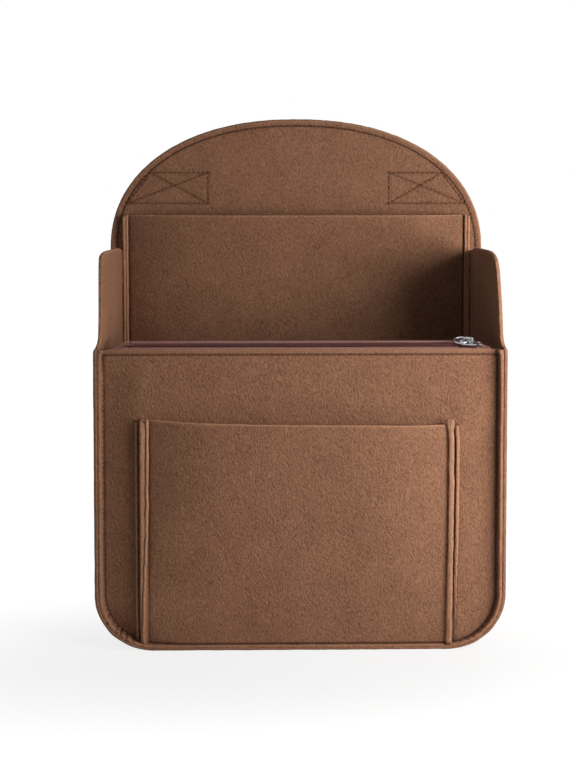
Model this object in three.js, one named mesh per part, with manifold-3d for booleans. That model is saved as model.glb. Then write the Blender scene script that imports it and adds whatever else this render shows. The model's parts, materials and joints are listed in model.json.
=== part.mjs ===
// Felt purse organizer insert: a stiff felt box with a tall arched back, rounded side ears,
// a zipped pocket in the front wall, a flat pocket before it and a tall pocket on the back wall.
// Millimetres, +X to the right, +Y to the back, +Z up; the origin is the middle of the base.
import * as THREE from "three";
import { mergeVertices } from "three/addons/utils/BufferGeometryUtils.js";
import Module from "manifold-3d";

const wasm = await Module();
wasm.setup();

// Materials of the walls and seams
const felt = 2.2;
const seamGap = 0.3;
const threadThickness = 0.4;
const threadWidth = 0.8;

// The box as a whole
const overallHeight = 335;
const bodyDepth = 120;
const cornerRadius = 35;

// Front wall and the forward rim round it
const frontWidth = 257;
const frontHeight = 187.4;
const rimHeight = 5;
const rimTilt = THREE.MathUtils.degToRad(18);
const frontHemDrop = 4.4;

// Flat pocket before the front wall, pinched to it at both sides
const frontPocketInset = 35.8;
const frontPocketTop = 142;
const frontPocketRoom = 10;
const frontRidgeHeight = 5.5;

// Arched back wall of two layers
const backWidth = 264;
const archRise = 92.5;
const archPowerShare = 2.2;
const liningStep = 0.8;
const edgeStitchInset = 4.8;

// Side and bottom strip with its rounded ears
const backMargin = 9;
const earRise = 4.7;
const earCrease = 2.4;
const earCreaseShare = 0.57;
const flangeDrop = 0.8;

// Shares of the depth of the body and of the ear's height over the front wall, front to back
const earEdgeShares = [
  [0, 0.06],
  [0.01, 0.14],
  [0.022, 0.27],
  [0.033, 0.74],
  [0.058, 0.87],
  [0.11, 0.94],
  [0.21, 0.988],
  [0.4, 1],
  [0.57, 0.995],
  [0.74, 0.975],
  [0.88, 0.94],
];

// Tall pocket on the back wall, pinched to the lining at both sides
const rearPocketInset = 15.7;
const rearPocketDrop = 66.5;
const rearPocketFloor = 30;
const rearPocketRoom = 14;
const rearRidgeHeight = 5;

// Zipped pocket behind the front wall
const zipRoom = 12.2;
const zipTilt = THREE.MathUtils.degToRad(16);
const zipEndLeft = 15.6;
const zipEndRight = 9.6;
const zipEndDrop = 5.5;
const tapeThickness = 0.6;
const tapeSlit = 1.4;
const tapeEndSlit = 0.3;
const tapeEndMargin = 2.6;
const tapeHang = 9;
const zipHemDrop = 4;

// Chain, stops and slider, in the tilted frame of the zip
const coilWidth = 1.9;
const coilHeight = 1.6;
const chainInset = 1;
const stopLength = 2;
const stopHeight = 1.8;
const sliderLength = 9.5;
const sliderTailWidth = 7.2;
const sliderHeadWidth = 8.8;
const sliderPlate = 0.8;
const sliderClearance = 0.35;
const sliderLip = 1.2;
const sliderPostLength = 1.2;
const sliderPostInset = 0.55;
const bridgeWidth = 1.8;
const bridgeLength = 6.2;
const bridgeLeg = 1;
const bridgeWindow = 2;
const bridgeBar = 0.8;
const ringRadius = 4.4;
const ringWire = 0.6;
const ringSag = THREE.MathUtils.degToRad(6);
const sliderEndPlay = 1.5;

// Strap across the outside of the back
const strapWidth = 25;
const strapThickness = 1.8;
const strapRoom = 6;
const strapSpan = 128;
const strapDrop = 49.5;
const strapEndInset = 7;
const strapStitchInset = 1.5;

// Steps of the meshes
const armSteps = 5;
const cornerSteps = 7;
const archSteps = 26;
const pocketColumns = 18;
const pocketRows = 8;
const closeSteps = 5;
const ringSteps = 24;
const wireSides = 8;
const coilSides = 8;
const quarterTurn = Math.PI / 2;

// Sizes that follow from the ones above
const rimFelt = felt / Math.cos(rimTilt);
const rimSpread = rimHeight * Math.tan(rimTilt);
const rimReach = rimSpread + 2 * rimFelt + seamGap / Math.cos(rimTilt);
const frontReach = frontPocketRoom + felt + seamGap;
const backReach = strapRoom + strapThickness + seamGap;
const frontFace = frontReach - (frontReach + bodyDepth + backReach) / 2;
const backFace = frontFace + bodyDepth;
const panelBack = frontFace + felt;
const liningFace = backFace - 2 * felt - seamGap;
const flangeFace = liningFace - seamGap;
const springHeight = overallHeight - archRise;
const earTop = springHeight + earRise;
const flangeTop = springHeight - flangeDrop;
const frontPocketWidth = frontWidth - 2 * frontPocketInset;
const rearPocketWidth = backWidth - 2 * rearPocketInset;
const rearPocketTop = overallHeight - rearPocketDrop;
const frontOutline = {
  half: frontWidth / 2 - rimReach,
  bottom: rimReach,
  radius: cornerRadius - rimReach,
};
const stripClearance = rimFelt + seamGap / Math.cos(rimTilt);
const stripFront = grown(frontOutline, stripClearance);
const stripBack = {
  half: backWidth / 2 - backMargin,
  bottom: backMargin,
  radius: cornerRadius - backMargin,
};

// Numbers and outlines
function lerp(from, to, share) {
  return from + (to - from) * share;
}

function smooth(value) {
  const share = Math.min(Math.max(value, 0), 1);
  return share * share * (3 - 2 * share);
}

function spread(from, to, steps) {
  return Array.from({ length: steps + 1 }, (_, i) => lerp(from, to, i / steps));
}

// A U outline moved outward by a distance
function grown(outline, out) {
  return {
    half: outline.half + out,
    bottom: outline.bottom - out,
    radius: outline.radius + out,
  };
}

function mixed(from, to, share) {
  return {
    half: lerp(from.half, to.half, share),
    bottom: lerp(from.bottom, to.bottom, share),
    radius: lerp(from.radius, to.radius, share),
  };
}

// Half the width of a U outline at a height
function halfAt(outline, z) {
  const below = Math.max(outline.bottom + outline.radius - z, 0);
  const across = Math.sqrt(Math.max(outline.radius ** 2 - below ** 2, 0));
  return outline.half - outline.radius + across;
}

// Stations along a U: down the left arm, round the two bottom corners and up the right arm
const leftArm = spread(1, 0, armSteps).slice(0, -1);
const leftCorner = spread(0, quarterTurn, cornerSteps);
const uStations = [
  ...leftArm.map((share) => ({ side: -1, share, angle: 0 })),
  ...leftCorner.map((angle) => ({ side: -1, share: 0, angle })),
  ...leftCorner.toReversed().map((angle) => ({ side: 1, share: 0, angle })),
  ...leftArm.toReversed().map((share) => ({ side: 1, share, angle: 0 })),
];

// The point of a station, a distance outside the outline, with the arms ending at a height
function uPoint(station, outline, out, y, top) {
  const reach = outline.radius + out;
  const corner = outline.bottom + outline.radius;
  const across = outline.half - outline.radius + reach * Math.cos(station.angle);
  const up = lerp(corner, top, station.share) - reach * Math.sin(station.angle);
  return [station.side * across, y, up];
}

// Half the width of the arch at a height, a distance inside its edge
function archHalf(z, inset) {
  const up = Math.max(z - springHeight, 0) / (archRise - inset);
  return (backWidth / 2 - inset) * (1 - up ** archPowerShare) ** (1 / archPowerShare);
}

// The arch from right to left over the top, a distance inside its edge
function archPoints(inset) {
  const across = backWidth / 2 - inset;
  const rise = archRise - inset;
  return spread(0, Math.PI, archSteps).map((angle) => {
    const x = Math.sign(Math.cos(angle)) * Math.abs(Math.cos(angle)) ** (2 / archPowerShare);
    const z = Math.abs(Math.sin(angle)) ** (2 / archPowerShare);
    return [across * x, springHeight + rise * z];
  });
}

// The whole outline of the back wall, a distance inside its edge
function backPoints(inset) {
  const outline = grown({ half: backWidth / 2, bottom: 0, radius: cornerRadius }, -inset);
  const base = uStations
    .filter((station) => station.share === 0)
    .map((station) => uPoint(station, outline, 0, 0, springHeight))
    .map(([x, , z]) => [x, z]);
  return [...base, ...archPoints(inset)];
}

// A polyline moved sideways by a distance, with mitred corners
function offsetLine(points, distance) {
  const normals = points.slice(1).map(([y, z], i) => {
    const length = Math.hypot(y - points[i][0], z - points[i][1]);
    return [(points[i][1] - z) / length, (y - points[i][0]) / length];
  });
  return points.map(([y, z], i) => {
    const before = normals[Math.max(i - 1, 0)];
    const after = normals[Math.min(i, normals.length - 1)];
    const share = 1 / (1 + before[0] * after[0] + before[1] * after[1]);
    return [
      y + distance * share * (before[0] + after[0]),
      z + distance * share * (before[1] + after[1]),
    ];
  });
}

// A closed surface with its faces turned outward
function closedGeometry(points, triangles) {
  const corner = triangles.map((triangle) => triangle.map((i) => new THREE.Vector3(...points[i])));
  const volume = corner.reduce((sum, [a, b, c]) => sum + a.dot(b.clone().cross(c)), 0);
  const turned = volume < 0 ? triangles.map(([a, b, c]) => [a, c, b]) : triangles;
  const geometry = new THREE.BufferGeometry();
  geometry.setAttribute("position", new THREE.Float32BufferAttribute(points.flat(), 3));
  geometry.setIndex(turned.flat());
  geometry.computeVertexNormals();
  return geometry;
}

// A sheet between two faces: each row holds pairs of points, one on either face
function sheet(rows, loop = false) {
  const columns = rows[0].length;
  const count = rows.length;
  const at = (row, column, face) => ((row % count) * columns + column) * 2 + face;
  const quads = [];
  for (let row = 0; row < (loop ? count : count - 1); row++) {
    const next = row + 1;
    for (let column = 0; column < columns - 1; column++) {
      const side = column + 1;
      quads.push([at(row, column, 0), at(row, side, 0), at(next, side, 0), at(next, column, 0)]);
      quads.push([at(row, column, 1), at(next, column, 1), at(next, side, 1), at(row, side, 1)]);
    }
    const last = columns - 1;
    quads.push([at(row, 0, 0), at(next, 0, 0), at(next, 0, 1), at(row, 0, 1)]);
    quads.push([at(next, last, 0), at(row, last, 0), at(row, last, 1), at(next, last, 1)]);
  }
  for (let column = 0; column < columns - 1 && !loop; column++) {
    const side = column + 1;
    const end = count - 1;
    quads.push([at(0, side, 0), at(0, column, 0), at(0, column, 1), at(0, side, 1)]);
    quads.push([at(end, column, 0), at(end, side, 0), at(end, side, 1), at(end, column, 1)]);
  }
  const triangles = quads.flatMap(([a, b, c, d]) => [
    [a, b, c],
    [a, c, d],
  ]);
  return closedGeometry(rows.flat(2), triangles);
}

// A flat outline in X and Z, extruded from a front face to a rear face
function prism(outline, yFront, yRear) {
  const shape = new THREE.Shape(outline.map(([x, z]) => new THREE.Vector2(x, z)));
  const geometry = new THREE.ExtrudeGeometry(shape, {
    depth: yRear - yFront,
    bevelEnabled: false,
  });
  return geometry.rotateX(quarterTurn).translate(0, yRear, 0);
}

function block([x0, x1], [y0, y1], [z0, z1]) {
  const geometry = new THREE.BoxGeometry(Math.abs(x1 - x0), y1 - y0, z1 - z0);
  return geometry.translate((x0 + x1) / 2, (y0 + y1) / 2, (z0 + z1) / 2);
}

// Joining and cutting
function solidOf(geometry) {
  const bare = geometry.clone();
  bare.deleteAttribute("normal");
  bare.deleteAttribute("uv");
  const merged = mergeVertices(bare, seamGap / 1000);
  return new wasm.Manifold(
    new wasm.Mesh({
      numProp: 3,
      vertProperties: new Float32Array(merged.attributes.position.array),
      triVerts: new Uint32Array(merged.index.array),
    }),
  );
}

function geometryOf(solid) {
  const { vertProperties, triVerts } = solid.getMesh();
  const geometry = new THREE.BufferGeometry();
  geometry.setAttribute("position", new THREE.BufferAttribute(vertProperties, 3));
  geometry.setIndex(new THREE.BufferAttribute(triVerts, 1));
  geometry.computeVertexNormals();
  return geometry;
}

function joined(...geometries) {
  return geometryOf(geometries.map(solidOf).reduce((sum, next) => sum.add(next)));
}

function common(geometry, other) {
  return geometryOf(solidOf(geometry).intersect(solidOf(other)));
}

// Meshes and their materials
const organizer = new THREE.Group();
const finishes = {
  felt: { color: 0x80533a, roughness: 0.95, metalness: 0 },
  strap: { color: 0x6e4430, roughness: 0.85, metalness: 0 },
  tape: { color: 0x6f4a48, roughness: 0.85, metalness: 0 },
  coil: { color: 0x6b3a3c, roughness: 0.45, metalness: 0 },
  metal: { color: 0xc3c4c6, roughness: 0.25, metalness: 1 },
  thread: { color: 0x5e3725, roughness: 0.8, metalness: 0 },
};

function place(parent, name, geometry, finish) {
  const mesh = new THREE.Mesh(geometry, new THREE.MeshStandardMaterial(finishes[finish]));
  mesh.name = name;
  parent.add(mesh);
}

// Front wall: a flat panel whose margin turns forward into a rim, with the two pinched
// ridges that hold the sides of the flat pocket
const ridgeInner = frontPocketWidth / 2 + felt + seamGap;
const ridgeOuter = ridgeInner + 2 * felt;

function frontPanel() {
  const flatPoints = uStations
    .map((station) => uPoint(station, frontOutline, 0, 0, frontHeight))
    .map(([x, , z]) => [x, z]);
  const rimSection = [
    [
      [-felt, frontFace],
      [-felt, panelBack],
    ],
    [
      [0, frontFace],
      [rimFelt - felt * Math.tan(rimTilt), panelBack],
    ],
    [
      [rimSpread, frontFace - rimHeight],
      [rimSpread + rimFelt, frontFace - rimHeight],
    ],
  ];
  const rimRows = uStations.map((station) =>
    rimSection.map((pair) =>
      pair.map(([out, y]) => uPoint(station, frontOutline, out, y, frontHeight)),
    ),
  );
  const ridges = [-1, 1].map((side) =>
    block(
      [side * ridgeInner, side * ridgeOuter],
      [frontFace - frontRidgeHeight, panelBack],
      [frontOutline.bottom + felt / 2, frontPocketTop],
    ),
  );
  return joined(prism(flatPoints, frontFace, panelBack), sheet(rimRows), ...ridges);
}

// A pocket wall whose side margins turn away from the wall behind it: back is that wall's
// face, and the pocket stands off by its room at the middle of the top
function pinchedPocket({ width, floor, top, back, room, margin }) {
  const half = width / 2;
  const outer = half + felt;
  const shares = spread(-1, 1, pocketColumns);
  return sheet(
    spread(0, 1, pocketRows).map((rise) => {
      const z = lerp(floor, top, rise);
      const lift = room * Math.sin(rise * quarterTurn);
      const rest = back - seamGap;
      const tip = back - margin;
      const web = shares.map((share) => {
        const y = rest - lift * (1 - share ** 4);
        const stretch = Math.abs(share) === 1 ? outer / half : 1;
        return [
          [share * half * stretch, y, z],
          [share * half, y - felt, z],
        ];
      });
      const fold = (side) => [
        [side * outer, tip, z],
        [side * half, tip, z],
      ];
      return [fold(-1), ...web, fold(1)];
    }),
  );
}

const frontPocket = () =>
  pinchedPocket({
    width: frontPocketWidth,
    floor: frontOutline.bottom + seamGap,
    top: frontPocketTop,
    back: frontFace,
    room: frontPocketRoom,
    margin: frontRidgeHeight,
  });

const rearPocket = () =>
  pinchedPocket({
    width: rearPocketWidth,
    floor: rearPocketFloor,
    top: rearPocketTop,
    back: liningFace,
    room: rearPocketRoom,
    margin: rearRidgeHeight,
  });

// Side and bottom strip: tilted front flange, wall and ears, and rear flange
function stripRows() {
  const depth = flangeFace - frontFace;
  const frontRise = earTop - frontHeight;
  const column = (outer, inner, top) => ({ outer, inner, top });
  const tipY = frontFace - rimHeight;
  const flangeTip = backMargin - liningStep;
  const columns = [
    column([rimSpread + rimFelt, tipY], [rimSpread, tipY], frontHeight),
    ...earEdgeShares.map(([depthShare, riseShare]) => {
      const y = frontFace + depth * depthShare;
      const out = depthShare ? felt : rimFelt;
      return column([out, y], [0, y], frontHeight + frontRise * riseShare);
    }),
    column([felt, flangeFace - felt], [0, flangeFace], flangeTop),
    column([flangeTip, flangeFace - felt], [flangeTip, flangeFace], flangeTop),
  ];
  const at = (station, [out, y], top) => {
    const depthShare = Math.max(y - frontFace, 0) / depth;
    const before = Math.min(depthShare / earCreaseShare, 1);
    const behind = Math.min((1 - depthShare) / (1 - earCreaseShare), 1);
    const crease = earCrease * Math.min(before, behind) * smooth(station.share);
    const outline = mixed(stripFront, stripBack, depthShare);
    return uPoint(station, outline, out - crease, y, top);
  };
  return uStations.map((station) =>
    columns.map(({ outer, inner, top }) => [at(station, inner, top), at(station, outer, top)]),
  );
}

// Back wall: the rear layer, and the lining with the two pinched ridges of the tall pocket
const rearRidgeInner = rearPocketWidth / 2 + felt + seamGap;
const rearRidgeOuter = rearRidgeInner + felt;

const backShell = () => prism(backPoints(0), backFace - felt, backFace);

function backLining() {
  const layer = prism(backPoints(liningStep), liningFace, liningFace + felt);
  const ridges = [-1, 1].map((side) =>
    block(
      [side * rearRidgeInner, side * rearRidgeOuter],
      [liningFace - rearRidgeHeight, liningFace + felt],
      [rearPocketFloor, rearPocketTop],
    ),
  );
  return joined(layer, ...ridges);
}

// Zipped pocket: how far its mouth has closed towards either end of the zip
const zipPanelHalf = frontOutline.half - seamGap;
const zipCloseLeft = zipPanelHalf - zipEndLeft;
const zipCloseRight = zipPanelHalf - zipEndRight;
const tapeEnd = zipPanelHalf - tapeEndMargin;
const tapeBend = seamGap + tapeThickness / 2;
const zipEndRoom = 2 * (seamGap + tapeThickness) + tapeEndSlit + 2 * tapeThickness;

function closeShare(x) {
  const start = x < 0 ? zipCloseLeft : zipCloseRight;
  return smooth((Math.abs(x) - start) / (zipPanelHalf - start));
}

const mouthRoom = (x) => lerp(zipRoom, zipEndRoom, closeShare(x));

// Height of the tape's middle plane, a distance behind the front wall
function tapeHeight(x, behind) {
  const bend = frontHeight - tapeThickness / 2 - zipEndDrop * closeShare(x);
  return bend + (behind - tapeBend) * Math.tan(zipTilt);
}

const tapeCrown = (tapeThickness / 2 + seamGap) / Math.cos(zipTilt);
const zipPanelTop = (x) => tapeHeight(x, mouthRoom(x)) - tapeCrown;
const closingXs = [
  ...spread(-tapeEnd, -zipCloseLeft, closeSteps),
  ...spread(zipCloseRight, tapeEnd, closeSteps),
];

// Rear wall of the zipped pocket: it meets the front wall along the sides and the bottom
function zipPanel() {
  const outline = grown(frontOutline, -seamGap);
  const edges = [-zipPanelHalf, ...closingXs, zipPanelHalf];
  const middle = spread(-zipCloseLeft, zipCloseRight, pocketColumns / 2).slice(1, -1);
  const xs = [...edges, ...middle].sort((a, b) => a - b);
  const bulgeTop = frontHeight - tapeHang - zipEndDrop;
  return sheet(
    spread(0, 1, pocketRows).map((rise) =>
      xs.map((topX) => {
        const z = lerp(outline.bottom, zipPanelTop(topX), rise ** 0.8);
        const x = (topX / zipPanelHalf) * halfAt(outline, z);
        const deep = smooth(z / bulgeTop);
        const y = panelBack + lerp(seamGap, mouthRoom(topX), deep);
        return [
          [x, y, z],
          [x, y + felt, z],
        ];
      }),
    ),
  );
}

// Tapes: the front one hangs behind the front wall, the rear one folds over the rear wall
function tapeSheet(lineAt) {
  return sheet(
    closingXs.map((x) => {
      const line = lineAt(x);
      const lower = offsetLine(line, -tapeThickness / 2);
      const upper = offsetLine(line, tapeThickness / 2);
      return line.map((_, i) => [
        [x, panelBack + lower[i][0], lower[i][1]],
        [x, panelBack + upper[i][0], upper[i][1]],
      ]);
    }),
  );
}

const halfSlit = (x) => lerp(tapeSlit, tapeEndSlit, closeShare(x)) / 2;

function frontTapeLine(x) {
  const edge = mouthRoom(x) / 2 - halfSlit(x);
  const bend = tapeHeight(x, tapeBend);
  return [
    [edge, tapeHeight(x, edge)],
    [tapeBend, bend],
    [tapeBend, bend - tapeHang],
  ];
}

function rearTapeLine(x) {
  const edge = mouthRoom(x) / 2 + halfSlit(x);
  const behind = mouthRoom(x) + felt + tapeBend;
  const bend = tapeHeight(x, behind);
  return [
    [edge, tapeHeight(x, edge)],
    [behind, bend],
    [behind, bend - tapeHang],
  ];
}

// Zip frame: u along X, v up the slope of the tapes to the rear, w off their upper face
const zip = new THREE.Group();
zip.position.set(0, panelBack + zipRoom / 2, tapeHeight(0, zipRoom / 2));
zip.rotation.x = zipTilt;
organizer.add(zip);
const tapeTop = tapeThickness / 2;
const coilInner = tapeSlit / 2;
const coilOuter = coilInner + coilWidth;
const coilBottom = tapeTop + seamGap;
const coilTop = coilBottom + coilHeight;
const chainStart = -zipCloseLeft + chainInset;
const chainEnd = zipCloseRight - chainInset;

// One side of the chain: a long bar of oval section
function coil(side) {
  const section = new THREE.Shape().absellipse(0, 0, coilHeight / 2, coilWidth / 2, 0, 4 * quarterTurn);
  const bar = new THREE.ExtrudeGeometry(section, {
    depth: chainEnd - chainStart,
    bevelEnabled: false,
    curveSegments: coilSides,
  });
  const v = side * (coilInner + coilWidth / 2);
  return bar.rotateY(quarterTurn).translate(chainStart, v, coilBottom + coilHeight / 2);
}

function stop(from, [v0, v1]) {
  return block([from, from + stopLength], [v0, v1], [coilBottom, coilBottom + stopHeight]);
}

// Slider: two plates round the chain, a wedge between its halves and a bridge for the ring
const lowerTop = -tapeTop - sliderClearance;
const upperBottom = coilTop + sliderClearance;
const upperTop = upperBottom + sliderPlate;
const lipBottom = tapeTop + sliderClearance;
const barBottom = upperTop + bridgeWindow;
const barTop = barBottom + bridgeBar;

function taperedPlate([inner, outer], bottom, top) {
  const ends = [-sliderLength / 2, sliderLength / 2];
  const halves = [sliderTailWidth / 2, sliderHeadWidth / 2];
  return sheet(
    ends.map((u, i) =>
      [inner, outer].map((trim) => {
        const v = trim.side * (halves[i] - trim.inset);
        return [
          [u, v, bottom],
          [u, v, top],
        ];
      }),
    ),
  );
}

function slider() {
  const edge = (side, inset = 0) => ({ side, inset });
  const full = [edge(-1), edge(1)];
  const postEnd = sliderLength / 2 - sliderPostInset;
  const post = block(
    [postEnd - sliderPostLength, postEnd],
    [seamGap - coilInner, coilInner - seamGap],
    [lowerTop - sliderPlate / 2, upperBottom + sliderPlate / 2],
  );
  const lips = [-1, 1].map((side) =>
    taperedPlate([edge(side, sliderLip / 2), edge(side)], lipBottom, upperTop),
  );
  const bridge = [
    [-bridgeLength / 2, -bridgeLength / 2 + bridgeLeg],
    [bridgeLength / 2 - bridgeLeg, bridgeLength / 2],
  ].map((leg) => block(leg, [-bridgeWidth / 2, bridgeWidth / 2], [upperBottom, barTop]));
  const bar = block(
    [-bridgeLength / 2, bridgeLength / 2],
    [-bridgeWidth / 2, bridgeWidth / 2],
    [barBottom, barTop],
  );
  return joined(
    taperedPlate(full, lowerTop - sliderPlate, lowerTop),
    taperedPlate(full, upperBottom, upperTop),
    post,
    ...lips,
    ...bridge,
    bar,
  );
}

const sliderHome = chainEnd + seamGap - sliderEndPlay - sliderLength / 2;
const ringPivot = upperTop + bridgeWindow / 2 + seamGap / 3;
const ringRest = new THREE.Group();
ringRest.position.set(sliderHome, 0, ringPivot);
ringRest.rotation.y = -ringSag;
zip.add(ringRest);

const pullRing = () =>
  new THREE.TorusGeometry(ringRadius, ringWire, wireSides, ringSteps).translate(-ringRadius, 0, 0);

// Strap: flat where it is sewn at both ends, and standing off the back between them
const strapMiddle = overallHeight - strapDrop;
const strapFace = backFace + seamGap;

function strap() {
  const reach = archHalf(strapMiddle - strapWidth / 2, 0);
  const free = spread(-strapSpan / 2, strapSpan / 2, pocketColumns);
  const band = sheet(
    [-reach, ...free, reach].map((x) => {
      const share = Math.min(Math.abs((2 * x) / strapSpan), 1);
      const y = strapFace + strapRoom * (1 - share ** 2) ** 2;
      return [strapMiddle - strapWidth / 2, strapMiddle + strapWidth / 2].map((z) => [
        [x, y, z],
        [x, y + strapThickness, z],
      ]);
    }),
  );
  return common(band, prism(backPoints(strapEndInset), backFace, backFace + backReach + felt));
}

// Threads lie a seam gap off the face that they hold
const threadHalf = threadWidth / 2;
const before = (face) => [face - seamGap - threadThickness, face - seamGap];
const behind = (face) => [face + seamGap, face + seamGap + threadThickness];

// A thread along the U of the front rim, on a face given by its two ends in the section
function rimThread(outline, from, to, towards) {
  const share = 0.5;
  const length = Math.hypot(to[0] - from[0], to[1] - from[1]);
  const along = [(to[0] - from[0]) / length, (to[1] - from[1]) / length];
  const off = [towards * along[1], -towards * along[0]];
  const corner = (slide, lift) => [
    lerp(from[0], to[0], share) + along[0] * slide + off[0] * lift,
    lerp(from[1], to[1], share) + along[1] * slide + off[1] * lift,
  ];
  return sheet(
    uStations.map((station) =>
      [-threadHalf, threadHalf].map((slide) =>
        [seamGap, seamGap + threadThickness].map((lift) => {
          const [out, y] = corner(slide, lift);
          return uPoint(station, outline, out, y, frontHeight);
        }),
      ),
    ),
  );
}

// A thread that follows the outline of the back, between two insets of its edge
function outlineThread(pointsAt, inset, [y0, y1], loop) {
  const inner = pointsAt(inset + threadHalf);
  return sheet(
    pointsAt(inset - threadHalf).map(([x, z], i) =>
      [
        [x, z],
        [inner[i][0], inner[i][1]],
      ].map((point) => [
        [point[0], y0, point[1]],
        [point[0], y1, point[1]],
      ]),
    ),
    loop,
  );
}

// The thread of the rear flange, on its front face, inside the corner of the box
function flangeThread() {
  const [y0, y1] = before(flangeFace - felt);
  const inset = backMargin - edgeStitchInset;
  return sheet(
    uStations.map((station) =>
      [-threadHalf, threadHalf].map((slide) =>
        [y0, y1].map((y) => uPoint(station, stripBack, inset + slide, y, flangeTop)),
      ),
    ),
  );
}

// Box stitching with crossed diagonals that holds one end of the strap
function boxStitches(side, outerInset, [y0, y1]) {
  const z0 = strapMiddle - strapWidth / 2 + strapStitchInset;
  const z1 = strapMiddle + strapWidth / 2 - strapStitchInset;
  const inner = strapSpan / 2 + strapStitchInset;
  const corners = [
    [side * inner, z0],
    [side * archHalf(z0, outerInset), z0],
    [side * archHalf(z1, outerInset), z1],
    [side * inner, z1],
  ];
  const runs = [
    [0, 1],
    [1, 2],
    [2, 3],
    [3, 0],
    [0, 2],
    [1, 3],
  ];
  const bars = runs.map(([i, j]) => {
    const line = [corners[i], corners[j]];
    const left = offsetLine(line, threadHalf);
    const right = offsetLine(line, -threadHalf);
    return prism([left[0], left[1], right[1], right[0]], y0, y1);
  });
  return joined(...bars);
}

// Threads of the ridges at both sides of the two pinched pockets
const ridgeThread = (side, outer, tip, [z0, z1], height) =>
  block(
    [side * (outer + seamGap), side * (outer + seamGap + threadThickness)],
    [tip + height / 2 - threadHalf, tip + height / 2 + threadHalf],
    [z0, z1],
  );

// The assembly, outer pieces first
place(organizer, "front_panel", frontPanel(), "felt");
place(organizer, "front_pocket", frontPocket(), "felt");
place(organizer, "gusset_strip", sheet(stripRows()), "felt");
place(organizer, "back_panel_shell", backShell(), "felt");
place(organizer, "back_panel_lining", backLining(), "felt");
place(organizer, "rear_pocket", rearPocket(), "felt");
place(organizer, "zip_pocket_panel", zipPanel(), "felt");
place(organizer, "back_strap", strap(), "strap");

// Zip
place(organizer, "zip_front_tape", tapeSheet(frontTapeLine), "tape");
place(organizer, "zip_rear_tape", tapeSheet(rearTapeLine), "tape");
place(zip, "zip_front_coil", coil(-1), "coil");
place(zip, "zip_rear_coil", coil(1), "coil");
place(zip, "zip_front_top_stop", stop(chainEnd + seamGap, [-coilOuter, -coilInner]), "metal");
place(zip, "zip_rear_top_stop", stop(chainEnd + seamGap, [coilInner, coilOuter]), "metal");
place(zip, "zip_bottom_stop", stop(chainStart - seamGap - stopLength, [-coilOuter, coilOuter]), "metal");
place(zip, "zip_slider", slider().translate(sliderHome, 0, 0), "metal");
place(ringRest, "zip_pull_ring", pullRing(), "metal");

// Stitching of the box
const rimTip = frontFace - rimHeight;
const stripOutside = [
  [rimSpread + rimFelt, rimTip],
  [rimFelt, frontFace],
];
const rimInside = [
  [rimSpread, rimTip],
  [0, frontFace],
];
place(organizer, "front_seam_outer_stitching", rimThread(stripFront, ...stripOutside, 1), "thread");
place(organizer, "front_seam_inner_stitching", rimThread(frontOutline, ...rimInside, -1), "thread");
place(organizer, "flange_stitching", flangeThread(), "thread");
place(
  organizer,
  "back_edge_stitching",
  outlineThread(backPoints, edgeStitchInset, behind(backFace), true),
  "thread",
);
place(
  organizer,
  "arch_edge_stitching",
  outlineThread(archPoints, edgeStitchInset, before(liningFace), false),
  "thread",
);

// Stitching of the hems, pockets and strap
const hemHalf = frontOutline.half - felt;
const hemHeight = frontHeight - frontHemDrop;
const zipHemHeight = tapeHeight(0, zipRoom + felt + tapeBend) - zipHemDrop;
const zipHemFace = panelBack + zipRoom + felt + seamGap + tapeThickness;
place(
  organizer,
  "front_hem_stitching",
  block([-hemHalf, hemHalf], before(frontFace), [hemHeight - threadHalf, hemHeight + threadHalf]),
  "thread",
);
place(
  organizer,
  "zip_hem_stitching",
  block([chainStart, chainEnd], behind(zipHemFace), [zipHemHeight - threadHalf, zipHemHeight + threadHalf]),
  "thread",
);
for (const [word, side] of [
  ["left", -1],
  ["right", 1],
]) {
  const frontSpan = [frontOutline.bottom + felt, frontPocketTop - seamGap];
  const rearSpan = [rearPocketFloor + felt, rearPocketTop - seamGap];
  const frontTip = frontFace - frontRidgeHeight;
  const rearTip = liningFace - rearRidgeHeight;
  const frontLine = ridgeThread(side, ridgeOuter, frontTip, frontSpan, frontRidgeHeight);
  const rearLine = ridgeThread(side, rearRidgeOuter, rearTip, rearSpan, rearRidgeHeight);
  const strapBox = boxStitches(side, strapEndInset + strapStitchInset, behind(strapFace + strapThickness));
  const liningBox = boxStitches(side, edgeStitchInset + strapStitchInset, before(liningFace));
  place(organizer, "front_pocket_stitching_" + word, frontLine, "thread");
  place(organizer, "rear_pocket_stitching_" + word, rearLine, "thread");
  place(organizer, "strap_stitching_" + word, strapBox, "thread");
  place(organizer, "strap_stitching_inside_" + word, liningBox, "thread");
}

export default organizer;
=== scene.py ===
"""Looks of the felt purse organizer insert: felt walls, zip, stitching, strap, floor, light and camera."""

import json
import logging
import math
from collections.abc import Callable, Iterable
from dataclasses import dataclass, field
from enum import Enum
from functools import cache
from typing import ClassVar

import bmesh
import bpy
import numpy as np
from mathutils import Matrix, Vector


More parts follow.
